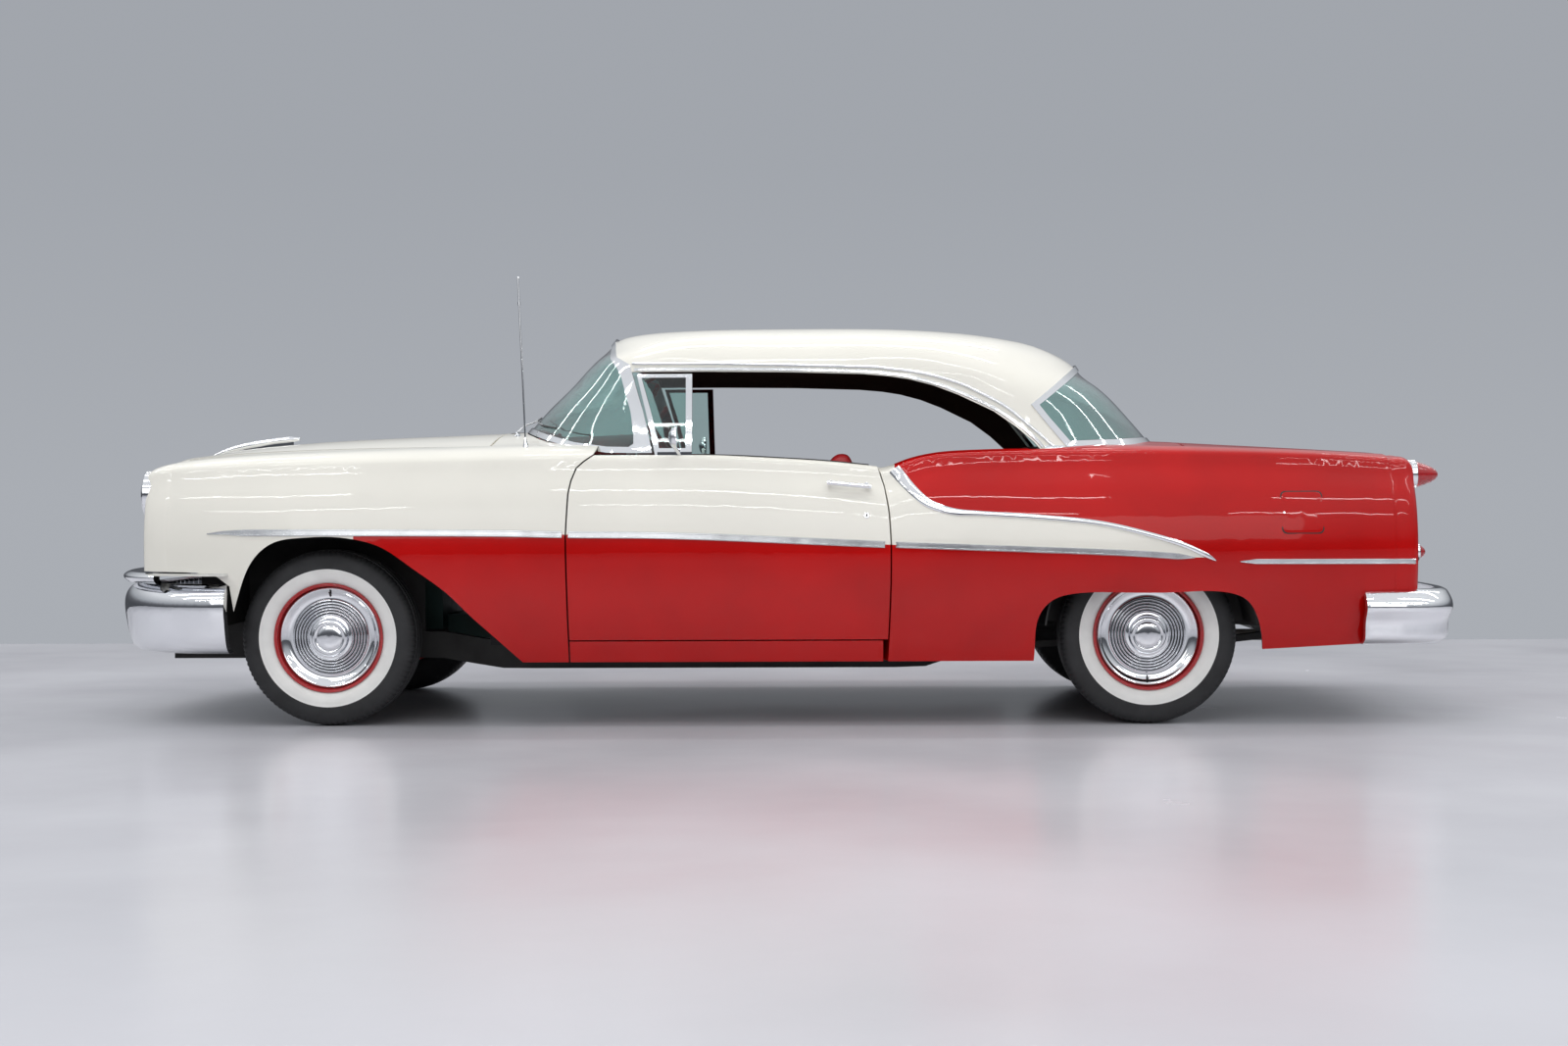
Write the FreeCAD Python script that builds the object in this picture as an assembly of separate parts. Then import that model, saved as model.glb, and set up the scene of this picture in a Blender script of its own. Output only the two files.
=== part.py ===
import FreeCAD, Part

import math
import os

from FreeCAD import Vector

# A two-door hardtop coupe of the mid nineteen-fifties, on a separate ladder frame.
# The front of the car faces -X and its left side faces -Y. The ground is at z = 0.

# Driving sizes of the whole car
wheelbase = 3099.0
front_overhang = 920.0
rear_overhang = 1181.0
body_height = 1540.0
body_width = 1976.0
front_track = 1499.0
rear_track = 1473.0

# Tyres and wheels
tyre_radius = 335.0
tyre_width = 200.0
tyre_shoulder = 42.0
tyre_bead_radius = 196.0
tyre_tread_crown = 5.0
rim_flange_radius = 208.0
rim_barrel_radius = 178.0
rim_width = 158.0
rim_wall = 5.0
rim_lip = 12.0
disc_offset = 18.0
disc_wall = 6.0
hub_radius = 58.0
hub_bore_clearance = 0.3
spindle_radius = 19.0
hubcap_radius = 150.0
hubcap_height = 46.0
hubcap_rib_height = 5.0
hubcap_ribs = 4
drum_radius = 152.0
drum_depth = 58.0
brake_plate_gap = 6.0

# Sheet metal, glass and clearances
skin = 10.0
panel_gap = 5.0
door_gap = 6.0
door_slant = 0.17
seat_gap = 0.3
overrun = 40.0
glass_wall = 5.0
moulding_wall = 15.0
moulding_proud = 4.0
roof_wall = 22.0
hood_wall = 18.0
window_slot = 16.0
window_slot_depth = 45.0

# Steering, hinges and running gear
kingpin_inset = 82.0
kingpin_radius = 15.0
door_hinge_setback = 26.0
door_hinge_inset = 12.0

half_width = body_width / 2
half_length = (front_overhang + wheelbase + rear_overhang) / 2
front_axle_x = (front_overhang - wheelbase - rear_overhang) / 2
rear_axle_x = front_axle_x + wheelbase
axle_z = tyre_radius


def along(share):
    """x of a place given as a share of the wheelbase behind the front axle."""
    return front_axle_x + share * wheelbase


def up(share):
    """z of a place given as a share of the body's height."""
    return share * body_height


def out(share):
    """Distance from the centre plane of a place given as a share of the half width."""
    return share * half_width


# Lengthwise run of the body's side: (x share, height or width share)
crest_height_shares = [
    (-0.2227, 0.6325), (-0.1936, 0.6396), (-0.1291, 0.6468), (0, 0.6532), (0.1613, 0.6591), (0.3288, 0.6636),
    (0.4556, 0.663), (0.5486, 0.6545), (0.607, 0.6468), (0.6734, 0.6331), (0.6905, 0.6299), (0.7035, 0.6429),
    (0.7177, 0.6539), (0.7373, 0.6617), (0.757, 0.6662), (0.808, 0.6695), (0.9148, 0.6714), (1.092, 0.6662),
    (1.2262, 0.6571), (1.323, 0.6442),
]
crest_width_shares = [
    (-0.2227, 0.7996), (-0.1936, 0.8219), (-0.1291, 0.8553), (0, 0.8826), (0.1613, 0.8968), (0.3288, 0.9008),
    (0.6734, 0.8968), (0.7422, 0.8785), (0.9035, 0.8603), (1.0971, 0.8553), (1.2262, 0.836), (1.323, 0.8016),
]
side_width_shares = [
    (-0.2227, 0.8623), (-0.1936, 0.8907), (-0.1291, 0.9332), (-0.0645, 0.9555), (0, 0.9676), (0.1613, 0.9818),
    (0.3227, 0.9889), (0.6776, 0.9899), (0.9035, 0.9879), (1.0649, 0.9798), (1.1939, 0.9575), (1.2907, 0.917),
    (1.323, 0.8988),
]
sill_width_shares = [
    (-0.2227, 0.8097), (-0.1291, 0.8785), (0, 0.9109), (0.3227, 0.916), (0.859, 0.916), (1.0649, 0.9089),
    (1.2907, 0.8482), (1.323, 0.83),
]
sill_height_shares = [(-0.2227, 0.1597), (0.859, 0.1597), (1.1349, 0.1857), (1.323, 0.2026)]
front_crown_shares = [
    (-0.2227, 0.6597), (-0.1855, 0.6792), (-0.0929, 0.7032), (0.0261, 0.7169), (0.1581, 0.7266), (0.2175, 0.7318),
    (0.3711, 0.7403),
]
rear_crown_shares = [
    (0.6647, 0.6416), (0.7035, 0.6519), (0.757, 0.6766), (0.8519, 0.7), (0.9358, 0.7032), (1.0342, 0.6987), (1.0794, 0.6935), (1.2026, 0.6792), (1.3317, 0.6636),
]
side_height_share = 0.4481
crest_radius = 34.0
crown_power = 2.2
side_power = 1.7
sill_power = 2.3


def smooth(table, x):
    """Value at x of a smooth curve through the table's points that never overshoots them."""
    if x <= table[0][0]:
        return table[0][1]
    if x >= table[-1][0]:
        return table[-1][1]
    rises = []
    for (x0, v0), (x1, v1) in zip(table, table[1:]):
        rises.append((v1 - v0) / (x1 - x0))
    slopes = [rises[0]]
    for a, b in zip(rises, rises[1:]):
        slopes.append(2 * a * b / (a + b) if a * b > 0 else 0)
    slopes.append(rises[-1])
    for i in range(len(rises)):
        x0, v0 = table[i]
        x1, v1 = table[i + 1]
        if x <= x1:
            break
    t = (x - x0) / (x1 - x0)
    run = x1 - x0
    start = (1 + 2 * t) * (1 - t) ** 2 * v0 + t * (1 - t) ** 2 * run * slopes[i]
    end = t * t * (3 - 2 * t) * v1 - t * t * (1 - t) * run * slopes[i + 1]
    return start + end


def place_share(x):
    return (x - front_axle_x) / wheelbase


def crest_height(x):
    return up(smooth(crest_height_shares, place_share(x)))


def crest_width(x):
    return out(smooth(crest_width_shares, place_share(x)))


def side_width(x):
    return out(smooth(side_width_shares, place_share(x)))


def sill_width(x):
    return out(smooth(sill_width_shares, place_share(x)))


def sill_height(x):
    return up(smooth(sill_height_shares, place_share(x)))


def front_crown(x):
    return up(smooth(front_crown_shares, place_share(x)))


def rear_crown(x):
    return up(smooth(rear_crown_shares, place_share(x)))


def top_height(x, y, crown):
    """Height of the hood and deck surface over a place in plan."""
    reach = min(1, abs(y) / crest_width(x))
    return crown(x) - (crown(x) - crest_height(x)) * reach ** crown_power


def side_points(x):
    """Outer surface of the body's side at x as (y, z), from the sill up to the foot of the crest."""
    low_y = sill_width(x)
    low_z = sill_height(x)
    wide_y = side_width(x)
    wide_z = up(side_height_share)
    high_y = crest_width(x)
    high_z = crest_height(x) - crest_radius
    points = []
    for u in (0, 0.3, 0.65):
        points.append((wide_y - (wide_y - low_y) * (1 - u) ** sill_power, low_z + u * (wide_z - low_z)))
    for u in (0, 0.35, 0.7, 1):
        points.append((wide_y - (wide_y - high_y) * u ** side_power, wide_z + u * (high_z - wide_z)))
    return points


def roll_points(x, crown):
    """The rounded crest and the start of the top surface."""
    y = crest_width(x)
    inner = y - crest_radius
    return [
        (y - crest_radius * (1 - math.sqrt(0.5)), crest_height(x) - crest_radius * (1 - math.sqrt(0.5))),
        (inner, top_height(x, inner, crown)),
    ]


def body_points(x, crown):
    """Half section of the body from the left sill over the crest to the centre, y negative."""
    points = side_points(x) + roll_points(x, crown)
    inner = crest_width(x) - crest_radius
    for share in (0.8, 0.6, 0.4, 0.2, 0):
        points.append((inner * share, top_height(x, inner * share, crown)))
    return [(-y, z) for y, z in points]


def chord_parameters(points):
    """Parameters from 0 to 1 in step with the distances between the points."""
    distances = [0]
    for a, b in zip(points, points[1:]):
        distances.append(distances[-1] + math.dist(a, b))
    return [d / distances[-1] for d in distances]


def spline(points, parameters=None):
    """Smooth edge through the points."""
    curve = Part.BSplineCurve()
    if parameters is None:
        curve.interpolate(Points=points)
    else:
        curve.interpolate(Points=points, Parameters=parameters)
    return curve.toShape()


def inset(points, depth):
    """Points moved sideways by depth, to the right of the way they run."""
    moved = []
    last = len(points) - 1
    for i, (a, b) in enumerate(points):
        before = points[max(i - 1, 0)]
        after = points[min(i + 1, last)]
        da = after[0] - before[0]
        db = after[1] - before[1]
        size = math.hypot(da, db)
        moved.append((a + depth * db / size, b - depth * da / size))
    return moved


def closed_section(outer, inner, lift, parameters):
    """Wire of an outer and an inner curve joined by two short lines. lift places a point in space."""
    outer = [lift(p) for p in outer]
    inner = [lift(p) for p in inner]
    edges = [
        spline(outer, parameters),
        Part.makeLine(outer[-1], inner[-1]),
        spline(inner, parameters),
        Part.makeLine(inner[0], outer[0]),
    ]
    edges[2].reverse()
    return Part.Wire(Part.__sortEdges__(edges))


def loft(wires):
    return Part.makeLoft(wires, True, False)


def at_x(x):
    return lambda p: Vector(x, p[0], p[1])


def at_y(y):
    return lambda p: Vector(p[0], y, p[1])


def at_z(z):
    return lambda p: Vector(p[0], p[1], z)


def sheet_panel(stations, section, wall, lift):
    """Sheet-metal solid through closed sections, section(station) giving the outer points."""
    parameters = chord_parameters(section(stations[len(stations) // 2]))
    wires = []
    for station in stations:
        outer = section(station)
        wires.append(closed_section(outer, inset(outer, wall), lift(station), parameters))
    return loft(wires)


def polygon(points):
    return Part.makePolygon(points + [points[0]])


def prism_y(points, y0, y1):
    """Solid of an outline in side view, (x, z), between two widths."""
    face = Part.Face(polygon([Vector(x, y0, z) for x, z in points]))
    return face.extrude(Vector(0, y1 - y0, 0))


def prism_z(points, z0, z1):
    """Solid of an outline in plan, (x, y), between two heights."""
    face = Part.Face(polygon([Vector(x, y, z0) for x, y in points]))
    return face.extrude(Vector(0, 0, z1 - z0))


def prism_x(points, x0, x1):
    """Solid of an outline in front view, (y, z), between two places."""
    face = Part.Face(polygon([Vector(x0, y, z) for y, z in points]))
    return face.extrude(Vector(x1 - x0, 0, 0))


def curved_prism_y(curve, corners, y0, y1):
    """Prism whose outline is a smooth curve through points closed by straight runs to corners."""
    places = [Vector(x, y0, z) for x, z in curve]
    ends = [places[-1]] + [Vector(x, y0, z) for x, z in corners] + [places[0]]
    edges = [spline(places)]
    for a, b in zip(ends, ends[1:]):
        edges.append(Part.makeLine(a, b))
    return Part.Face(Part.Wire(edges)).extrude(Vector(0, y1 - y0, 0))


def block(x0, x1, y0, y1, z0, z1):
    return Part.makeBox(x1 - x0, y1 - y0, z1 - z0, Vector(x0, y0, z0))


def mirrored(shape):
    return shape.mirror(Vector(0, 0, 0), Vector(0, 1, 0))


def fused(shapes):
    return shapes[0].multiFuse(shapes[1:]).removeSplitter()


def revolved(points, centre, axis):
    """Solid of revolution from (distance along the axis, radius) points about an axis along Y."""
    turned = [Vector(centre.x, centre.y + axis * a, centre.z + r) for a, r in points]
    return Part.Face(polygon(turned)).revolve(centre, Vector(0, 1, 0), 360)


def revolved_x(points, centre, axis):
    """The same about an axis along X."""
    turned = [Vector(centre.x + axis * a, centre.y, centre.z + r) for a, r in points]
    return Part.Face(polygon(turned)).revolve(centre, Vector(1, 0, 0), 360)


def places(table):
    """Side-view outline from (x share, z share) points."""
    return [(along(a), up(b)) for a, b in table]


def slanted_prism(points):
    """Prism of a side-view outline for the shut faces, leaning forward towards the inside."""
    shift = door_slant * (half_width - out(slant_plane_share))
    face = Part.Face(polygon([Vector(x + shift, -half_width, z) for x, z in points]))
    return face.extrude(Vector(-door_slant * half_width, half_width, 0))


slant_plane_share = 0.9413
cabin_half_share = 0.7814

parts = {}

# Greenhouse: stacked plan outlines, each with a front bow, straight sides and a rear bow
belt_share = 0.6675
roof_top_share = 1.0013
cab_front_shares = [
    (0.6675, 0.1878), (0.7325, 0.2168), (0.7786, 0.2372), (0.8545, 0.2769), (0.9383, 0.3166), (0.9727, 0.334),
    (0.9851, 0.3562), (0.9922, 0.3956), (0.9981, 0.4543), (1.0013, 0.5647),
]
cab_rear_shares = [
    (0.6675, 1.0526), (0.6942, 1.0342), (0.7247, 1.021), (0.7695, 1.0016), (0.8117, 0.9823), (0.8461, 0.9629),
    (0.8779, 0.9435), (0.8961, 0.9335), (0.9123, 0.9238), (0.9331, 0.9045), (0.9494, 0.8851), (0.9682, 0.8461),
    (0.9805, 0.807), (0.989, 0.768), (0.9968, 0.7093), (1.0013, 0.5647),
]
front_bow_shares = [(0.6675, 0.3859), (0.8903, 0.384), (0.9416, 0.4356), (0.974, 0.484), (1.0013, 0.5647)]
rear_bow_shares = [
    (0.6675, 0.8519), (0.7857, 0.839), (0.8442, 0.8003), (0.8903, 0.7422), (0.9416, 0.6776), (1.0013, 0.5647),
]
cab_width_shares = [
    (0.6675, 0.8279), (0.7143, 0.7955), (0.7792, 0.7611), (0.8442, 0.7328), (0.8903, 0.7085), (0.9351, 0.6498),
    (0.961, 0.5729), (0.9838, 0.4251), (0.9955, 0.2379), (1.0013, 0),
]
bow_power = 2.2


def rise(share):
    """Square root of the drop below the roof's top, which makes the roof round there."""
    return math.sqrt(max(0, roof_top_share - share) / (roof_top_share - belt_share))


def by_height(table, z):
    turned = [(rise(a), b) for a, b in reversed(table)]
    return smooth(turned, rise(z / body_height))


def cab_front(z):
    return along(by_height(cab_front_shares, z))


def cab_rear(z):
    return along(by_height(cab_rear_shares, z))


def front_bow(z):
    return along(by_height(front_bow_shares, z))


def rear_bow(z):
    return along(by_height(rear_bow_shares, z))


def cab_width(z):
    return out(by_height(cab_width_shares, z))


def cab_half(x, z):
    """Half width of the greenhouse over a place in side view."""
    reach = 0
    if x < front_bow(z):
        reach = (front_bow(z) - x) / (front_bow(z) - cab_front(z))
    if x > rear_bow(z):
        reach = (x - rear_bow(z)) / (cab_rear(z) - rear_bow(z))
    return cab_width(z) * (1 - min(1, reach) ** bow_power) ** (1 / bow_power)


def roof_crown(x):
    """Height of the roof's centre line, found by halving."""
    low = up(belt_share)
    high = up(roof_top_share)
    for _ in range(40):
        middle = (low + high) / 2
        if cab_front(middle) < x < cab_rear(middle):
            low = middle
        else:
            high = middle
    return low


def roof_points(x):
    """Section of the greenhouse at x from the left belt over the crown to the right belt."""
    crown = roof_crown(x)
    drop = crown - up(belt_share)
    left = []
    for share in (1, 0.9, 0.8, 0.7, 0.6, 0.5, 0.4, 0.3, 0.2, 0.1):
        z = crown - drop * share ** 2
        left.append((-cab_half(x, z), z))
    return left + [(0, crown)] + [(-y, z) for y, z in reversed(left)]


def bow_points(z, tip, edge_share):
    """Plan outline of the front or rear glass at a height, as (x, y) from the left side to the right."""
    edge = along(edge_share)
    points = []
    steps = 12
    for i in range(steps + 1):
        turn = -90 + 180 * i / steps
        x = edge + (tip(z) - edge) * abs(math.cos(math.radians(turn))) ** (2 / bow_power)
        points.append((x, math.copysign(cab_half(x, z), turn)))
    points[steps // 2] = (tip(z), 0)
    return points


def glass_band(levels, tip, edge_share, proud, wall):
    """Curved band of glass or moulding that stands proud of the greenhouse by proud."""
    way = 1 if tip is cab_front else -1
    parameters = chord_parameters(bow_points(levels[0], tip, edge_share))
    wires = []
    for z in levels:
        base = bow_points(z, tip, edge_share)
        wires.append(closed_section(inset(base, -way * proud), inset(base, way * (wall - proud)), at_z(z), parameters))
    return loft(wires)


def between(low, high, count):
    return [low + (high - low) * i / (count - 1) for i in range(count)]


# Windshield opening in side view: the moulding's outer line and the glass line inside it
windshield_outer_shares = [
    (0.1742, 0.761), (0.2168, 0.7318), (0.2581, 0.7052), (0.2991, 0.6825), (0.3417, 0.6701), (0.3743, 0.6688),
    (0.3975, 0.6688), (0.3927, 0.7123), (0.3853, 0.7708), (0.3717, 0.8604), (0.3701, 0.8708), (0.3672, 0.8903),
    (0.3485, 0.9117), (0.3408, 0.9409), (0.3356, 0.9753), (0.3162, 1.0195), (0.1742, 1.0195),
]
windshield_glass_shares = [
    (0.1742, 0.7779), (0.2168, 0.7468), (0.2581, 0.7201), (0.2991, 0.6974), (0.3417, 0.6851), (0.3685, 0.6838),
    (0.3743, 0.6916), (0.374, 0.7123), (0.3698, 0.7708), (0.3572, 0.8552), (0.3504, 0.8831), (0.3404, 0.9065),
    (0.333, 0.939), (0.3272, 0.9688), (0.3098, 1.0195), (0.1742, 1.0195),
]
rear_outer_shares = [
    (0.939, 0.9058), (0.9342, 0.8987), (0.9003, 0.8474), (0.8609, 0.7844), (0.8729, 0.7532), (0.9058, 0.6714),
    (0.9681, 0.6766), (1.0649, 0.6948), (1.0971, 0.8442), (1.0003, 0.974),
]
rear_glass_shares = [
    (0.939, 0.8896), (0.9364, 0.8818), (0.9035, 0.8331), (0.8712, 0.7831), (0.8819, 0.7545), (0.9074, 0.6935),
    (0.9681, 0.6987), (1.0649, 0.7136), (1.0971, 0.8442), (1.0003, 0.974),
]
roof_outline_shares = [
    (0.3162, 1.0195), (0.3356, 0.9753), (0.3408, 0.9409), (0.3485, 0.9117), (0.3672, 0.8903), (0.3701, 0.8708),
    (0.4611, 0.8708), (0.5647, 0.8682), (0.6547, 0.8623), (0.6873, 0.8565), (0.7131, 0.8481), (0.7422, 0.8325),
    (0.7715, 0.8097), (0.8148, 0.7675), (0.8432, 0.726), (0.8629, 0.6903), (0.8706, 0.6714), (0.9058, 0.6714),
    (0.8729, 0.7532), (0.8609, 0.7844),
    (0.9003, 0.8474), (0.9342, 0.8987), (0.939, 0.9058), (1.0003, 0.974), (1.0003, 1.0195),
]


front_glass_end_share = 0.4027
rear_glass_end_share = 0.8558


def make_glass():
    """Wrap-round windshield and rear window, each in a bright moulding."""
    front_levels = between(up(0.6571), up(0.9773), 12)
    rear_levels = between(up(0.6701), up(0.9117), 8)
    span = (-half_width, half_width)
    glass_proud = -moulding_wall / 3
    cut = prism_y(places(windshield_glass_shares), *span)
    whole = prism_y(places(windshield_outer_shares), *span)
    band = glass_band(front_levels, cab_front, front_glass_end_share, moulding_proud, moulding_wall)
    front_moulding = largest(band.common(whole).cut(cut))
    pane = glass_band(front_levels, cab_front, front_glass_end_share, glass_proud, glass_wall)
    parts["windshield"] = largest(pane.common(cut))
    cut = prism_y(places(rear_glass_shares), *span)
    whole = prism_y(places(rear_outer_shares), *span)
    band = glass_band(rear_levels, cab_rear, rear_glass_end_share, moulding_proud, moulding_wall)
    rear_moulding = largest(band.common(whole).cut(cut))
    parts["window_mouldings"] = Part.makeCompound([front_moulding, rear_moulding])
    pane = glass_band(rear_levels, cab_rear, rear_glass_end_share, glass_proud, glass_wall)
    parts["rear_window"] = largest(pane.common(cut))


def make_roof():
    """Roof panel with its rear pillars, cut along the windows in side view."""
    stations = [along(s) for s in (0.3337, 0.3453, 0.3646, 0.3937, 0.4518, 0.5486, 0.6454, 0.726, 0.7906,
                                   0.839, 0.8777, 0.9035, 0.9229, 0.9358)]
    shell = sheet_panel(stations, roof_points, roof_wall, at_x)
    parts["roof"] = shell.common(prism_y(places(roof_outline_shares), -half_width, half_width))


# Front sheet metal: gap lines in side view and in plan
door_front_shares = [
    (0.3356, 0.7013), (0.3288, 0.6636), (0.3162, 0.6455), (0.3082, 0.6305), (0.3027, 0.6006), (0.2998, 0.5688),
    (0.2978, 0.4675), (0.2995, 0.2143),
]
door_rear_shares = [
    (0.6831, 0.2143), (0.6838, 0.3552), (0.6838, 0.4545), (0.6831, 0.5195), (0.6805, 0.5844), (0.6751, 0.6286),
    (0.6712, 0.7013),
]
door_bottom_share = 0.2143
front_arch_shares = [
    (-0.1094, 0.2857), (-0.0981, 0.3539), (-0.0823, 0.4156), (-0.0578, 0.4545), (-0.0271, 0.4656), (0.0181, 0.4675),
    (0.0429, 0.461), (0.0729, 0.4429), (0.1094, 0.3942), (0.1542, 0.3273), (0.1784, 0.2786), (0.2046, 0.2299),
    (0.2259, 0.1896), (0.2439, 0.1558),
]
rear_arch_shares = [
    (0.8583, 0.1558), (0.8596, 0.2156), (0.8635, 0.2669), (0.8787, 0.3065), (0.9038, 0.3234), (0.9561, 0.3266),
    (1.0336, 0.3266), (1.0913, 0.324), (1.1107, 0.3084), (1.1246, 0.2688), (1.131, 0.2253), (1.1342, 0.1753),
]
fender_front_low_shares = [(-0.1094, 0.2857), (-0.1136, 0.3481), (-0.1291, 0.3714), (-0.1562, 0.3818), (-0.2323, 0.3844)]
hood_front_half_share = 0.5516
hood_rear_half_share = 0.7085
hood_rear_share = 0.1936
cowl_front_gap_share = 0.1952
nose_x_share = -0.2581
nose_bow_share = 0.0361
nose_low_share = 0.4773
valance_low_share = 0.3922
fender_cap_shares = [(-0.1936, 0.015), (-0.2097, 0.015), (-0.2201, 0.25), (-0.2249, 0.6), (-0.2272, 1)]
fender_cap_pull = 52.0


def hood_half(x):
    """Half width of the hood opening, which narrows to the front."""
    front = along(nose_x_share)
    rear = along(hood_rear_share)
    share = (x - front) / (rear - front)
    return out(hood_front_half_share) + share * (out(hood_rear_half_share) - out(hood_front_half_share))


def hood_plan(grow):
    """Plan outline of the hood, wider than its line by grow."""
    front = along(nose_x_share) - 2 * overrun
    rear = along(hood_rear_share) + grow
    return [
        (front, -hood_half(front) - grow), (rear, -hood_half(rear) - grow),
        (rear, hood_half(rear) + grow), (front, hood_half(front) + grow),
    ]


def nose_x(y):
    """Front of the hood and valance, bowed in plan."""
    return along(nose_x_share) + nose_bow_share * wheelbase * (y / out(hood_front_half_share)) ** 2


nose_roll_shares = [(0.0484, 0), (0.0307, 0.0045), (0.0155, 0.0156), (0.0052, 0.0377), (0.0006, 0.0714), (-0.0013, 0.1169)]
hood_top_steps_share = [1, 0.82, 0.6, 0.38, 0.2, 0.08]


def hood_points(y):
    """Lengthwise section of the hood at y as (x, z), from the cowl to the lip over the grille."""
    front = nose_x(y)
    start = front + nose_roll_shares[0][0] * wheelbase
    edge = top_height(start, y, front_crown)
    points = []
    for share in hood_top_steps_share:
        x = start + share * (along(hood_rear_share) + overrun - start)
        points.append((x, top_height(x, y, front_crown)))
    for ahead, drop in nose_roll_shares:
        points.append((front + ahead * wheelbase, edge - up(drop)))
    points.append((front, up(nose_low_share)))
    return points


def full_front(x):
    left = body_points(x, front_crown)
    return left + [(-y, z) for y, z in reversed(left[:-1])]


def full_rear(x):
    left = body_points(x, rear_crown)
    return left + [(-y, z) for y, z in reversed(left[:-1])]


hood_ease_width = 6.0
hood_ease_length = 150.0
trunk_ease_width = 4.0
ledge_wall = 6.0
antenna_gap = 0.4
hood_ledge_shares = (0.1855, 0.6073)
deck_ledge_shares = (1.0455, 1.0616, 0.6073)


def hood_panel():
    widths = between(-out(hood_rear_half_share), out(hood_rear_half_share), 11)
    return sheet_panel(widths, hood_points, -hood_wall, at_y)


def make_hood(panel):
    """Hood panel. Its rear corners are eased, because they swing towards the fenders as it opens."""
    plan = hood_plan(-panel_gap / 2)
    rear, half = plan[2]
    start = rear - hood_ease_length
    corner = [(rear, half - hood_ease_width), (start, hood_half(start) - panel_gap / 2)]
    plan = [plan[0]] + [(x, -y) for x, y in reversed(corner)] + corner + [plan[3]]
    parts["hood"] = panel.common(prism_z(plan, 0, up(roof_top_share)))


def lowered(shape, drop):
    moved = shape.copy()
    moved.translate(Vector(0, 0, -drop))
    return moved


def ledge(panel, space):
    """Curved strip just under a lid's panel, on which the lid lies when it is shut."""
    drop = hood_wall + seat_gap
    return lowered(panel, drop).common(space).cut(lowered(panel, drop + ledge_wall))


def front_shell():
    return sheet_panel(between(along(-0.1936), along(0.3872), 11), full_front, skin, at_x)


def fender_cap():
    """Blunt front end of the left fender that carries the lamps."""
    wires = []
    rows = 8
    for share, pull_share in fender_cap_shares:
        x = along(share)
        pull = fender_cap_pull * pull_share
        inner = -hood_half(x) - panel_gap / 2 - pull / 2
        left = body_points(x, front_crown)
        kept = left[:rows + 1]
        top = top_height(x, inner, front_crown)
        middle = (kept[-1][0] + inner) / 2
        outline = kept + [(middle, top_height(x, middle, front_crown)), (inner, top)]
        centre_y = (kept[3][0] + inner) / 2
        centre_z = up(0.5195)
        reach_y = abs(kept[3][0] - inner) / 2
        reach_z = up(0.1169)
        pulled = []
        for y, z in outline:
            pulled.append((centre_y + (y - centre_y) * (1 - pull / reach_y / 2),
                           centre_z + (z - centre_z) * (1 - pull / reach_z / 3)))
        curve = [at_x(x)(p) for p in pulled]
        edges = [spline(curve, chord_parameters(pulled))]
        foot = Vector(x, curve[-1].y, curve[0].z)
        edges.append(Part.makeLine(curve[-1], foot))
        edges.append(Part.makeLine(foot, curve[0]))
        wires.append(Part.Wire(edges))
    return loft(wires)


def body_core(stations, section):
    """Solid inside the body's outer surface, for walls that end on it."""
    parameters = chord_parameters(section(stations[len(stations) // 2]))
    wires = []
    for x in stations:
        outer = [at_x(x)(p) for p in section(x)]
        wires.append(Part.Wire([spline(outer, parameters), Part.makeLine(outer[-1], outer[0])]))
    return loft(wires)


def largest(shape):
    return max(shape.Solids, key=lambda solid: solid.Volume)


def front_band():
    """Space that the windshield's moulding takes, for the panels that meet it."""
    levels = between(up(0.6396), up(0.7662), 5)
    wall = moulding_wall + 2 * seat_gap
    return glass_band(levels, cab_front, front_glass_end_share, moulding_proud + seat_gap, wall)


def rear_band():
    """Space that the rear window's moulding takes."""
    levels = between(up(0.6494), up(0.7403), 5)
    wall = moulding_wall + 2 * seat_gap
    return glass_band(levels, cab_rear, rear_glass_end_share, moulding_proud + seat_gap, wall)


headlamp_radius = 94.0
headlamp_rim = 13.0
headlamp_stand = 24.0
headlamp_seat = 44.0
headlamp_dome = 16.0
headlamp_place_shares = (-0.2259, 0.7146, 0.5714)
parking_lamp_radius = 36.0
parking_lamp_rim = 7.0
parking_lamp_stand = 46.0
parking_lamp_seat = 30.0
parking_lamp_place_shares = (-0.2143, 0.7206, 0.4364)
tail_lamp_radius = 56.0
tail_lamp_rim = 5.0
tail_lamp_stand = 20.0
tail_lamp_seat = 30.0
tail_lamp_length = 106.0
tail_lamp_place_shares = (1.3227, 0.7308, 0.6065)
backup_lamp_radius = 34.0
backup_lamp_rim = 6.0
backup_lamp_stand = 30.0
backup_lamp_length = 54.0
backup_lamp_place_shares = (1.3227, 0.751, 0.4169)


def spot(shares):
    """Point on the left side from shares of the wheelbase, the half width and the height."""
    return Vector(along(shares[0]), -out(shares[1]), up(shares[2]))


def bore_x(centre, radius, behind, ahead):
    return Part.makeCylinder(radius, behind + ahead, centre - Vector(behind, 0, 0), Vector(1, 0, 0))


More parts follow.
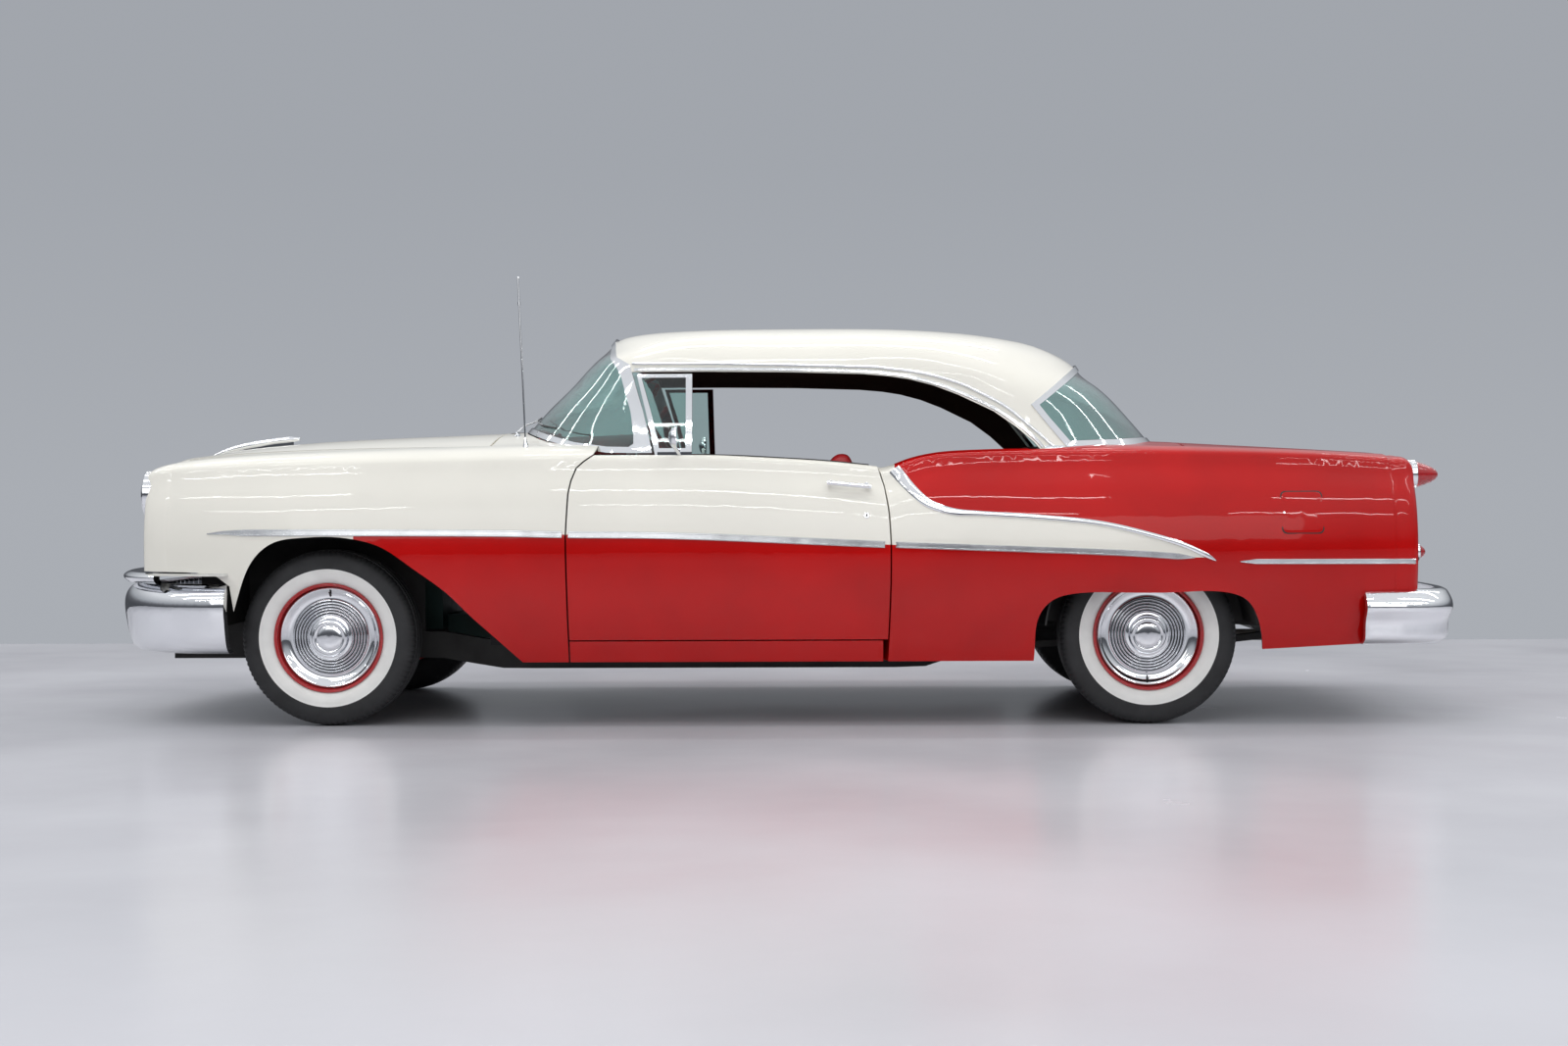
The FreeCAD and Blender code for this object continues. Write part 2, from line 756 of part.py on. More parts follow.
def make_fenders(shell):
    """Left front fender from the lamp end to the door gap; the right one mirrors it."""
    high = up(roof_top_share)
    door_line = places(door_front_shares)
    front = along(-0.2452)
    gap_line = inset(door_line, door_gap)
    keep = prism_y([(front, high)] + gap_line + [(gap_line[-1][0], 0), (front, 0)], -half_width, 0)
    arch = curved_prism_y(places(front_arch_shares), [(along(0.2439), 0), (along(-0.1094), 0)], -half_width, 0)
    low = prism_y(places(fender_front_low_shares) + [(front, up(0.3844)), (front, 0), (along(-0.1065), 0)],
                  -half_width, 0)
    side = shell.common(keep).cut(prism_z(hood_plan(panel_gap / 2), 0, high))
    side = side.cut(block(along(hood_rear_share), along(0.3872), -out(hood_rear_half_share), 0, 0, high))
    side = largest(side.cut(front_band()))
    whole = side.fuse(fender_cap())
    whole = whole.cut(arch).cut(low)
    lamp = spot(headlamp_place_shares)
    whole = whole.cut(bore_x(lamp, headlamp_radius + seat_gap, overrun, headlamp_seat))
    lamp = spot(parking_lamp_place_shares)
    whole = largest(whole.cut(bore_x(lamp, parking_lamp_radius + seat_gap, overrun, parking_lamp_seat)))
    parts["fender_left"] = whole
    parts["fender_right"] = mirrored(whole)


floor_low_share = 0.1896
floor_wall = 8.0
kick_panel_share = 0.7662
dash_drop = 22.0
dash_low_share = 0.5779
dash_front_share = 0.3195
dash_rear_share = 0.364


toe_top_share = 0.3325
toe_front_share = 0.1952
dash_half_share = 0.7733


def make_cowl(shell, core, panel):
    """Panel between the hood and the windshield with the firewall and kick panels, and the dashboard."""
    high = up(roof_top_share)
    half = out(hood_rear_half_share) - seat_gap
    front = along(cowl_front_gap_share)
    band = front_band()
    top = shell.common(block(front, along(0.342), -half, half, up(0.5844), high)).cut(band)
    cowl = min(top.Solids, key=lambda solid: solid.CenterOfMass.x)
    kick = out(kick_panel_share)
    low = up(toe_top_share) + floor_wall + seat_gap
    firewall = block(front, front + floor_wall, -half, half, low, high).common(lowered(core, skin / 2))
    wide = block(front, front + floor_wall, -kick, kick, low, high).common(lowered(core, skin + panel_gap))
    reach = out(hood_ledge_shares[1])
    rest = ledge(panel, block(along(hood_ledge_shares[0]), front + floor_wall / 2, -reach, reach, low, high))
    low = up(floor_low_share) + floor_wall + seat_gap
    sides = []
    for y in (-kick, kick - floor_wall):
        sides.append(block(front, along(0.355), y, y + floor_wall, low, up(0.6396)))
    walls = fused([firewall, wide, rest] + sides).cut(band)
    parts["cowl"] = largest(fused([cowl, largest(walls)]))
    half = out(dash_half_share)
    top = shell.common(block(front, along(dash_rear_share), -half, half, up(0.5844), high)).cut(band)
    dash_top = max(top.Solids, key=lambda solid: solid.CenterOfMass.x)
    half = kick - floor_wall - seat_gap
    face = block(along(dash_front_share), along(dash_rear_share), -half, half, up(dash_low_share), high).common(core)
    dash_top.translate(Vector(0, 0, -dash_drop))
    face.translate(Vector(0, 0, -dash_drop - skin / 2))
    parts["dashboard"] = largest(fused([dash_top, face, make_column()]).cut(column_bore()))


def door_section(x, depth=0):
    """Closed section of the whole side wall at x, from the sill up the outside and down the inside."""
    outer = [(-y, z) for y, z in side_points(x)] + [(-y, z) for y, z in roll_points(x, crest_height)]
    outer = inset(outer, depth)
    inner_y = -out(cabin_half_share)
    curve = [at_x(x)(p) for p in outer]
    corner = Vector(x, inner_y, curve[-1].z)
    foot = Vector(x, inner_y, curve[0].z)
    return Part.Wire([
        spline(curve, chord_parameters(outer)), Part.makeLine(curve[-1], corner),
        Part.makeLine(corner, foot), Part.makeLine(foot, curve[0]),
    ])


vent_outer_shares = [
    (0.3759, 0.8656), (0.4447, 0.8656), (0.4456, 0.6591), (0.4011, 0.6591), (0.3956, 0.7123), (0.3882, 0.7708),
]
vent_glass_shares = [
    (0.3821, 0.8565), (0.4369, 0.8565), (0.4379, 0.6805), (0.4053, 0.6805), (0.4021, 0.7123), (0.3946, 0.7708),
]
vent_setback = 8.0
vent_frame_wall = 18.0
sill_end_share = 0.6776
sill_seal_shares = (0.3259, 0.6712)
sill_seal_half_shares = (0.8097, 0.8219)


def make_doors(block_body):
    """Left door with its window slot; the sill under it. The right side mirrors the left."""
    front = places(door_front_shares)
    rear = places(door_rear_shares)
    high = up(roof_top_share)
    door = block_body.common(slanted_prism(rear + [(along(0.2581), high), (along(0.2581), 0), (rear[0][0], 0)]))
    door = door.common(prism_y(front + [(along(0.7099), up(door_bottom_share)), (along(0.7099), high)],
                               -half_width, 0))
    slot_y = -(cab_width(up(belt_share)) - vent_setback)
    slot_z = up(0.6234)
    slot = block(along(0.4485), along(0.6641), slot_y, slot_y + window_slot, slot_z, up(roof_top_share))
    door = largest(door.cut(slot))
    parts["door_left"] = door
    parts["door_right"] = mirrored(door)
    top = up(door_bottom_share) - panel_gap
    sill = block_body.common(block(front[-1][0], along(sill_end_share), -half_width, 0, 0, top))
    seal = block(along(sill_seal_shares[0]), along(sill_seal_shares[1]), -out(sill_seal_half_shares[1]),
                 -out(sill_seal_half_shares[0]), top - panel_gap, top + panel_gap - seat_gap)
    sill = fused([sill, seal])
    parts["sills"] = Part.makeCompound([sill, mirrored(sill)])


def vent_points(x):
    points = []
    for z in between(up(0.6558), up(0.8734), 6):
        points.append((-cab_half(x, z) + vent_setback, z))
    return points


def make_vents():
    """Quarter-light frame and pane at the front of each door."""
    stations = [along(s) for s in (0.3679, 0.3937, 0.4195, 0.4518)]
    cut = prism_y(places(vent_glass_shares), -half_width, 0)
    whole = prism_y(places(vent_outer_shares), -half_width, 0)
    frame = sheet_panel(stations, vent_points, vent_frame_wall, at_x).common(whole).cut(cut)
    frame = largest(frame.cut(parts["door_left"]))
    pane = sheet_panel(stations, vent_points, glass_wall, at_x).common(cut)
    parts["vent_frame_left"] = frame
    parts["vent_frame_right"] = mirrored(frame)
    parts["vent_glass_left"] = pane
    parts["vent_glass_right"] = mirrored(pane)


# Rear sheet metal
trunk_front_share = 1.0526
trunk_front_half_share = 0.6984
trunk_rear_half_share = 0.6113
tail_x_share = 1.3495
tail_bow_share = 0.0136
trunk_low_share = 0.4065
tail_panel_low_share = 0.3325
tail_panel_half_share = 0.663
tail_panel_wall = 62.0
plate_bolt_spacing = 178.0
plate_bolt_radius = 3.6
rear_cap_shares = [(1.2907, 0.02), (1.3069, 0.02), (1.3166, 0.2), (1.3207, 0.55), (1.3227, 1)]
rear_cap_pull = 34.0
cab_opening_rear_share = 0.8729
quarter_joint_share = 0.8693
quarter_rim_share = 0.8219


def trunk_half(x):
    """Half width of the trunk opening, which narrows to the rear."""
    front = along(trunk_front_share)
    rear = along(tail_x_share)
    share = (x - front) / (rear - front)
    return out(trunk_front_half_share) + share * (out(trunk_rear_half_share) - out(trunk_front_half_share))


def trunk_plan(grow):
    front = along(trunk_front_share) - grow
    rear = along(tail_x_share) + 2 * overrun
    return [
        (front, -trunk_half(front) - grow), (rear, -trunk_half(rear) - grow),
        (rear, trunk_half(rear) + grow), (front, trunk_half(front) + grow),
    ]


def tail_x(y):
    return along(tail_x_share) - tail_bow_share * wheelbase * (y / out(trunk_rear_half_share)) ** 2


tail_roll_shares = [(-0.0484, 0), (-0.0307, 0.0052), (-0.0155, 0.0169), (-0.0052, 0.039), (-0.0006, 0.0727), (0.0006, 0.1169)]


def trunk_points(y):
    """Lengthwise section of the trunk lid at y as (x, z), from its hinge edge to its lower lip."""
    tail = tail_x(y)
    end = tail + tail_roll_shares[0][0] * wheelbase
    edge = top_height(end, y, rear_crown)
    points = []
    start = along(trunk_front_share) - overrun
    for share in (0, 0.2, 0.42, 0.64, 0.82, 0.93):
        x = start + share * (end - start)
        points.append((x, top_height(x, y, rear_crown)))
    for behind, drop in tail_roll_shares:
        points.append((tail + behind * wheelbase, edge - up(drop)))
    points.append((tail, up(trunk_low_share)))
    return points


def trunk_panel():
    widths = between(-out(trunk_front_half_share), out(trunk_front_half_share), 11)
    return sheet_panel(widths, trunk_points, hood_wall, at_y)


def make_trunk():
    plan = trunk_plan(-panel_gap / 2)
    front, half = plan[3]
    start = front + hood_ease_length
    corner = [(start, trunk_half(start) - panel_gap / 2), (front, half - trunk_ease_width)]
    plan = [(x, -y) for x, y in reversed(corner)] + [plan[1], plan[2]] + corner
    parts["trunk_lid"] = trunk_panel().common(prism_z(plan, 0, up(roof_top_share)))
    low = up(tail_panel_low_share)
    high = up(trunk_low_share) - panel_gap
    half = out(tail_panel_half_share)

    def tail_points(z):
        return [(tail_x(y) - moulding_proud, y) for y in between(-half, half, 9)]

    panel = sheet_panel([low, high], tail_points, -tail_panel_wall, at_z)
    panel = panel.cut(parts["quarter_left"]).cut(parts["quarter_right"])
    for way in (-1, 1):
        hole = Vector(along(tail_x_share), way * plate_bolt_spacing / 2, (low + high) / 2)
        panel = panel.cut(bore_x(hole, plate_bolt_radius, 3 * tail_panel_wall, overrun))
    parts["tail_panel"] = largest(panel)


def rear_shell():
    return sheet_panel(between(along(0.6647), along(1.2907), 27), full_rear, skin, at_x)


def rear_cap():
    """Blunt end of the left quarter that carries the tail lamp."""
    wires = []
    for share, pull_share in rear_cap_shares:
        x = along(share)
        pull = rear_cap_pull * pull_share
        inner = -trunk_half(x) - panel_gap / 2
        kept = body_points(x, rear_crown)[:9]
        middle = (kept[-1][0] + inner) / 2
        outline = kept + [(middle, top_height(x, middle, rear_crown)), (inner, top_height(x, inner, rear_crown))]
        centre_y = (kept[3][0] + inner) / 2
        reach_y = abs(kept[3][0] - inner) / 2
        centre_z = up(0.4221)
        reach_z = up(0.2208)
        pulled = []
        for y, z in outline:
            pulled.append((centre_y + (y - centre_y) * (1 - pull / reach_y),
                           centre_z + (z - centre_z) * (1 - pull / reach_z)))
        curve = [at_x(x)(p) for p in pulled]
        foot = Vector(x, curve[-1].y, curve[0].z)
        wires.append(Part.Wire([
            spline(curve, chord_parameters(pulled)), Part.makeLine(curve[-1], foot), Part.makeLine(foot, curve[0]),
        ]))
    return loft(wires)


def make_quarters(shell):
    """Left rear quarter: thick beside the cabin, a skin behind it, and the blunt end with the tail lamp."""
    high = up(roof_top_share)
    door_line = places(door_rear_shares)
    wide = out(trunk_front_half_share)
    joint = along(quarter_joint_share)
    deck = prism_z([(along(0.839), -wide), (along(trunk_front_share), -wide), (along(trunk_front_share), 0),
                    (along(0.839), 0)], up(0.5844), high)
    arch = curved_prism_y(places(rear_arch_shares), [(along(1.1342), 0), (along(0.8583), 0)], -half_width, 0)
    gap_line = inset(door_line, door_gap)
    behind = slanted_prism(gap_line + [(half_length, high), (half_length, 0), (gap_line[0][0], 0)])
    skin_part = shell.common(behind).cut(deck)
    skin_part = skin_part.cut(prism_z(trunk_plan(panel_gap / 2), 0, high))
    skin_part = skin_part.cut(block(0, joint, -out(quarter_rim_share), 0, 0, high))
    band = rear_band()
    skin_part = largest(skin_part.cut(band))
    blank = loft([door_section(x, skin / 3) for x in between(along(0.6647), joint, 9)])
    wall = blank.common(behind).cut(band)
    whole = fused([skin_part, largest(wall), rear_cap()]).cut(arch)
    whole = whole.cut(block(0, along(sill_end_share) + seat_gap, -half_width, 0, 0, up(door_bottom_share)))
    lamp = spot(tail_lamp_place_shares)
    whole = whole.cut(bore_x(lamp, tail_lamp_radius + seat_gap, tail_lamp_seat, overrun))
    lamp = spot(backup_lamp_place_shares)
    whole = largest(whole.cut(bore_x(lamp, backup_lamp_radius + seat_gap, tail_lamp_seat, overrun)))
    parts["quarter_left"] = whole
    parts["quarter_right"] = mirrored(whole)
    half = wide - seat_gap
    front = along(cab_opening_rear_share)
    deck = shell.common(block(front, along(trunk_front_share) - panel_gap / 2, -half, half, up(0.5844), high))
    deck = deck.cut(band)
    pieces = sorted(deck.Solids, key=lambda solid: solid.CenterOfMass.x)
    x0 = along(deck_ledge_shares[0])
    reach = out(deck_ledge_shares[2])
    inside = body_core(between(along(1.0261), along(1.0778), 5), full_rear)
    web = block(x0, x0 + hood_wall, -reach, reach, up(0.5844), high).common(lowered(inside, skin / 2))
    panel = trunk_panel()
    web = web.cut(lowered(panel, hood_wall + ledge_wall / 2))
    web = max(web.Solids, key=lambda solid: solid.BoundBox.ZMax)
    rest = ledge(panel, block(x0, along(deck_ledge_shares[1]), -reach, reach, up(0.5844), high))
    parts["rear_deck"] = largest(fused([pieces[-1], web, rest]))
    shelf = pieces[0].copy()
    shelf.translate(Vector(0, 0, -dash_drop))
    core = body_core([along(s) for s in (0.8067, 0.8712, 0.9358)], full_rear)
    core.translate(Vector(0, 0, -dash_drop - skin / 2))
    half = out(cabin_half_share) - seat_gap
    low = up(axle_floor_share) + floor_wall + seat_gap
    bulkhead = block(front, front + floor_wall, -half, half, low, high).common(core)
    parts["package_shelf"] = largest(fused([shelf, bulkhead]))


# Lamps
def lamp_ring(centre, radius, rim, stand, seat, way):
    """Bright ring round a lamp, from its seat to where it stands out."""
    return revolved_x([(-seat, radius - rim), (stand - rim / 2, radius - rim), (stand, radius - rim / 2),
                       (stand - rim / 2, radius), (-seat, radius)], centre, way)


def lamp_lens(centre, radius, stand, seat, length, way):
    """Domed lens inside its ring."""
    points = [(-seat, 0)]
    for share in (1, 0.94, 0.8, 0.6, 0.4, 0.2):
        points.append((stand + (length - stand) * (1 - share ** 2.2), radius * share))
    return revolved_x([(-seat, radius)] + points[1:] + [(length, 0), (-seat, 0)], centre, way)


def make_lamps():
    head = spot(headlamp_place_shares)
    park = spot(parking_lamp_place_shares)
    tail = spot(tail_lamp_place_shares)
    back = spot(backup_lamp_place_shares)
    front_rings = [lamp_ring(head, headlamp_radius, headlamp_rim, headlamp_stand, headlamp_seat, -1),
                   lamp_ring(park, parking_lamp_radius, parking_lamp_rim, parking_lamp_stand, parking_lamp_seat, -1)]
    lenses = [
        lamp_lens(head, headlamp_radius - headlamp_rim - seat_gap, headlamp_stand - headlamp_rim, headlamp_seat,
                  headlamp_stand + headlamp_dome, -1),
        lamp_lens(park, parking_lamp_radius - parking_lamp_rim - seat_gap, parking_lamp_stand - parking_lamp_rim,
                  parking_lamp_seat, parking_lamp_stand, -1),
    ]
    parts["headlamp_lenses"] = Part.makeCompound(lenses + [mirrored(r) for r in lenses])
    rings = front_rings + [
        lamp_ring(tail, tail_lamp_radius, tail_lamp_rim, tail_lamp_stand, tail_lamp_seat, 1),
        lamp_ring(back, backup_lamp_radius, backup_lamp_rim, backup_lamp_stand, tail_lamp_seat, 1),
    ]
    parts["lamp_rims"] = Part.makeCompound(rings + [mirrored(r) for r in rings])
    lenses = [
        lamp_lens(tail, tail_lamp_radius - tail_lamp_rim - seat_gap, tail_lamp_stand, tail_lamp_seat,
                  tail_lamp_length, 1),
        lamp_lens(back, backup_lamp_radius - backup_lamp_rim - seat_gap, backup_lamp_stand, tail_lamp_seat,
                  backup_lamp_length, 1),
    ]
    parts["tail_lamp_lenses"] = Part.makeCompound(lenses + [mirrored(r) for r in lenses])


# Bumpers: plan outlines stacked by height, each (z share, reach, half width)
front_bar_shares = [(0.3539, 0.972), (0.361, 0.992), (0.3682, 1), (0.3747, 0.99), (0.3799, 0.965)]
front_pod_shares = [(0.1825, 0.90), (0.1922, 0.94), (0.2175, 0.966), (0.2597, 0.985), (0.2974, 0.995), (0.3247, 0.985),
                    (0.3442, 0.955), (0.3532, 0.925)]
rear_bar_shares = [(0.1961, 0.92), (0.2065, 0.95), (0.2273, 0.965), (0.2584, 0.975), (0.2825, 1), (0.3052, 0.99),
                   (0.3214, 0.965), (0.3292, 0.93)]
front_bumper_end_share = -0.1162
front_bumper_power = 2.6
front_bar_wall = 62.0
front_pod_wall = 40.0
rear_bumper_end_share = 1.254
rear_bumper_power = 5.0
rear_bar_wall = 30.0
rear_bumper_width_share = 0.9737
mouth_half_share = 0.6478
mouth_low_share = 0.2416
mouth_corner = 60.0


def bumper_outline(end_x, reach, half, power):
    """Plan of a bumper as (x, y), bowed round the end of the car."""
    points = []
    steps = 16
    for i in range(steps + 1):
        turn = math.radians(-90 + 180 * i / steps)
        side = math.copysign(abs(math.sin(turn)) ** (2 / power), turn)
        points.append((end_x + reach * abs(math.cos(turn)) ** (2 / power), half * side))
    return points


def bumper_bar(table, end_x, reach, half, power, wall):
    """Bumper solid through the table's outlines, hollow behind its wall."""
    way = 1 if reach < 0 else -1
    parameters = None
    wires = []
    for height, share in table:
        base = bumper_outline(end_x, reach * share, half * share, power)
        if parameters is None:
            parameters = chord_parameters(base)
        wires.append(closed_section(base, inset(base, way * wall), at_z(up(height)), parameters))
    return loft(wires)


def make_front_bumper():
    """Upper bar over the mouth, and the lower bar that swells into a pod at each corner."""
    end = along(front_bumper_end_share)
    reach = -half_length - end
    bar = bumper_bar(front_bar_shares, end, reach, half_width, front_bumper_power, front_bar_wall)
    slim = block(along(-0.2065), end + overrun, -half_width - overrun, half_width + overrun, 0, up(0.374))
    bar = bar.cut(slim)
    pods = bumper_bar(front_pod_shares, end, reach, half_width, front_bumper_power, front_pod_wall)
    half = out(mouth_half_share)
    low = up(mouth_low_share)
    high = up(0.3636)
    mouth = prism_x([(-half, high), (-half, low + mouth_corner), (-half + mouth_corner, low),
                     (half - mouth_corner, low), (half, low + mouth_corner), (half, high)],
                    -half_length - overrun, along(-0.1936))
    pods = pods.cut(mouth)
    bar = largest(bar.cut(parts["fender_left"]).cut(parts["fender_right"]))
    parts["bumper_front"] = Part.makeCompound([bar, pods])


def make_rear_bumper():
    end = along(rear_bumper_end_share)
    bar = bumper_bar(rear_bar_shares, end, half_length - end, out(rear_bumper_width_share), rear_bumper_power,
                     rear_bar_wall)
    parts["bumper_rear"] = largest(bar.cut(parts["quarter_left"]).cut(parts["quarter_right"]))


grille_bar_shares = (0.2662, 0.3, 0.3338)
grille_bar_height = 22.0
grille_bar_wall = 16.0
grille_reach_share = 0.955
grille_blades = 24
grille_blade_wall = 5.0
grille_blade_depth = 30.0


def make_grille():
    """Three bowed bars joined by upright blades inside the mouth of the front bumper."""
    end = along(front_bumper_end_share)
    reach = (-half_length - end) * grille_reach_share
    width = half_width * grille_reach_share
    half = out(mouth_half_share) - seat_gap
    pieces = []
    for height in grille_bar_shares:
        base = bumper_outline(end, reach, width, front_bumper_power)
        parameters = chord_parameters(base)
        wires = []
        for z in (up(height) - grille_bar_height / 2, up(height) + grille_bar_height / 2):
            wires.append(closed_section(base, inset(base, grille_bar_wall), at_z(z), parameters))
        bar = loft(wires)
        pieces.append(bar.common(block(-half_length, end, -half, half, 0, body_height)))
    for i in range(grille_blades + 1):
        y = -half + grille_blade_wall + (2 * half - 2 * grille_blade_wall) * i / grille_blades
        x = end + reach * (1 - (abs(y) / width) ** front_bumper_power) ** (1 / front_bumper_power)
        low = up(grille_bar_shares[0])
        pieces.append(block(x + grille_bar_wall / 2, x + grille_bar_wall / 2 + grille_blade_depth,
                            y - grille_blade_wall / 2, y + grille_blade_wall / 2, low, up(grille_bar_shares[-1])))
    parts["grille"] = largest(fused(pieces).cut(parts["bumper_front"].Solids[-1]))


valance_wall = 14.0
valance_half_share = 0.6174
pan_low_share = 0.3721
pan_wall = 9.0
pan_rear_share = -0.2001


def make_valance():
    """Painted panel between the hood's lip and the front bumper."""
    half = out(valance_half_share)

    def outline(z):
        return [(nose_x(y) + moulding_proud, y) for y in between(-half, half, 9)]

    low = up(pan_low_share)
    high = up(nose_low_share) - panel_gap
    panel = sheet_panel([low + pan_wall / 2, high], outline, valance_wall, at_z)
    panel = largest(panel.cut(parts["fender_left"]).cut(parts["fender_right"]))
    end = along(front_bumper_end_share)
    base = bumper_outline(end, -half_length - end, half_width, front_bumper_power)
    pan = prism_z(inset(base, front_bar_wall / 2), low, low + pan_wall)
    pan = pan.common(block(-half_length, along(pan_rear_share), -half_width, half_width, 0, body_height))
    pan = largest(pan.cut(parts["bumper_front"].Solids[0]))
    parts["front_valance"] = largest(fused([panel, pan]))


# Wheels and tyres: profiles as (distance outward from the wheel's centre plane, radius)
def tyre_profile():
    half = tyre_width / 2
    left = [
        (-half * 0.74, tyre_bead_radius), (-half * 0.80, tyre_bead_radius + tyre_shoulder * 0.35),
        (-half * 0.97, tyre_bead_radius + tyre_shoulder), (-half, tyre_radius - tyre_shoulder * 1.7),
        (-half * 0.93, tyre_radius - tyre_shoulder * 0.62), (-half * 0.78, tyre_radius - tyre_shoulder * 0.2),
        (-half * 0.5, tyre_radius - tyre_tread_crown * 0.4), (0, tyre_radius),
    ]
    return left + [(-a, r) for a, r in reversed(left[:-1])]


def turned(edge_points, centre, way, smooth_edge):
    """Solid of revolution about an axis along Y, its outer profile smooth."""
    places_3d = [Vector(centre.x, centre.y + way * a, centre.z + r) for a, r in edge_points]
    if smooth_edge:
        edges = [spline(places_3d), Part.makeLine(places_3d[-1], places_3d[0])]
        wire = Part.Wire(edges)
    else:
        wire = polygon(places_3d)
    return Part.Face(wire).revolve(centre, Vector(0, 1, 0), 360)


def make_wheel(name, centre, way):
    """Tyre, and the rim with its disc, hubcap and brake drum. way is +1 where outward is +Y."""
    parts["tyre_" + name] = turned(tyre_profile(), centre, way, True)
    half = rim_width / 2
    seat = tyre_bead_radius - seat_gap
    barrel = turned([(-half, seat), (half, seat), (half, seat - rim_wall * 2), (-half, seat - rim_wall * 2)],
                    centre, way, False)
    pieces = [barrel]
    for side in (-1, 1):
        a = side * (tyre_width / 2 * 0.81 + seat_gap)
        b = side * (half - rim_wall)
        pieces.append(turned([(b, seat - rim_wall * 2), (b, seat), (a, seat), (a, rim_flange_radius),
                              (a + side * rim_wall, rim_flange_radius), (a + side * rim_wall, seat - rim_wall * 2)],
                             centre, way, False))
    disc = turned([(disc_offset, hub_radius), (disc_offset + disc_wall, hub_radius),
                   (disc_offset + 3 * disc_wall, hubcap_radius), (disc_offset + disc_wall, seat - rim_wall),
                   (disc_offset, seat - rim_wall), (disc_offset + 2 * disc_wall, hubcap_radius)],
                  centre, way, False)
    base = disc_offset + disc_wall
    cap_points = [(base, hubcap_radius), (base + 3 * disc_wall, hubcap_radius)]
    for i in range(hubcap_ribs + 1):
        r = hubcap_radius * (1 - 0.13 * i)
        lift = base + 3 * disc_wall + (hubcap_height - 3 * disc_wall) * (1 - (r / hubcap_radius) ** 2)
        cap_points.append((lift, r))
        cap_points.append((lift + hubcap_rib_height, r - hubcap_rib_height))
    cap_points += [(base + hubcap_height + hubcap_rib_height, 0), (base, 0)]
    cap = turned(cap_points, centre, way, False)
    inner = disc_offset - drum_depth
    drum = turned([(inner, drum_radius), (disc_offset + disc_wall / 2, drum_radius), (disc_offset + disc_wall / 2, 0),
                   (inner, 0)], centre, way, False)
    bore = turned([(inner - disc_wall, spindle_radius + hub_bore_clearance),
                   (base - disc_wall, spindle_radius + hub_bore_clearance), (base - disc_wall, 0),
                   (inner - disc_wall, 0)], centre, way, False)
    parts["wheel_" + name] = fused(pieces + [disc, cap, drum]).cut(bore)


def make_wheels():
    for end, x, track in (("front", front_axle_x, front_track), ("rear", rear_axle_x, rear_track)):
        for side, way in (("left", -1), ("right", 1)):
            make_wheel(end + "_" + side, Vector(x, way * track / 2, axle_z), way)


# Chassis: the frame's rails in side view (their top), the rear springs, arms and axles
rail_top_shares = [
    (-0.2259, 0.2182), (0.1065, 0.2182), (0.2065, 0.1896), (0.7196, 0.1896), (0.8261, 0.2701), (0.8906, 0.3429),
    (1.0487, 0.3429), (1.1165, 0.2974), (1.1939, 0.2909), (1.3101, 0.2909),
]
rail_depth = 104.0
rail_width = 60.0
rail_offset = 425.0
rail_front_share = -0.2259
rail_rear_share = 1.3101
crossmember_shares = (-0.1807, 0, 0.2259, 0.5034, 0.9293, 1.294)
crossmember_half = 35.0
bracket_drop_share = 0.1922
bracket_height = 36.0
spring_shares = [(0.9003, 0.1825), (1.0, 0.1838), (1.1004, 0.1883)]
spring_end_shares = (0.8003, 1.1907)
spring_wall = 26.0
spring_width = 56.0
spring_eye = 19.0
clamp_half = 62.0
axle_tube = 38.0
differential_radius = 122.0
backing_radius = 146.0
backing_wall = 5.0
arm_wall = 20.0
arm_spread = 120.0
ball_half = 18.0
lower_arm_drop = 128.0
upper_arm_rise = 118.0
coil_radius = 54.0
coil_offset = 512.0
knuckle_half = 34.0


def rail_height(x):
    return up(smooth(rail_top_shares, place_share(x))) - seat_gap


def make_frame():
    """Two rails with crossmembers, and brackets that carry both bumpers."""
    top = [(x, rail_height(x)) for x in between(along(rail_front_share), along(rail_rear_share), 41)]
    outline = top + [(x, z - rail_depth) for x, z in reversed(top)]
    inner = rail_offset - rail_width / 2
    outer = rail_offset + rail_width / 2
    rail = prism_y(outline, -outer, -inner)
    pieces = [rail, mirrored(rail)]
    for share in crossmember_shares:
        x = along(share)
        z = min(rail_height(x - crossmember_half), rail_height(x + crossmember_half))
        pieces.append(block(x - crossmember_half, x + crossmember_half, -rail_offset, rail_offset,
                            z - rail_depth * 0.8, z - panel_gap))
    low = up(bracket_drop_share)
    front = block(along(-0.2807), along(rail_front_share) + overrun, -outer, -inner, low, low + bracket_height)
    end = along(front_bumper_end_share)
    reach = -half_length - end
    wall = front_pod_wall + seat_gap
    front = front.cut(bumper_bar(front_pod_shares, end, reach, half_width, front_bumper_power, wall))
    front = max(front.Solids, key=lambda solid: solid.BoundBox.XMax)
    low = rail_height(along(rail_rear_share)) - 2 * bracket_height
    rear = block(along(rail_rear_share) - overrun, along(1.374), -outer, -inner, low, low + bracket_height)
    end = along(rear_bumper_end_share)
    wall = rear_bar_wall + seat_gap
    rear = rear.cut(bumper_bar(rear_bar_shares, end, half_length - end, out(rear_bumper_width_share),
                               rear_bumper_power, wall))
    rear = min(rear.Solids, key=lambda solid: solid.BoundBox.XMin)
    pieces += [front, mirrored(front), rear, mirrored(rear)]
    parts["frame"] = largest(fused(pieces).cut(exhaust_solid(seat_gap)))


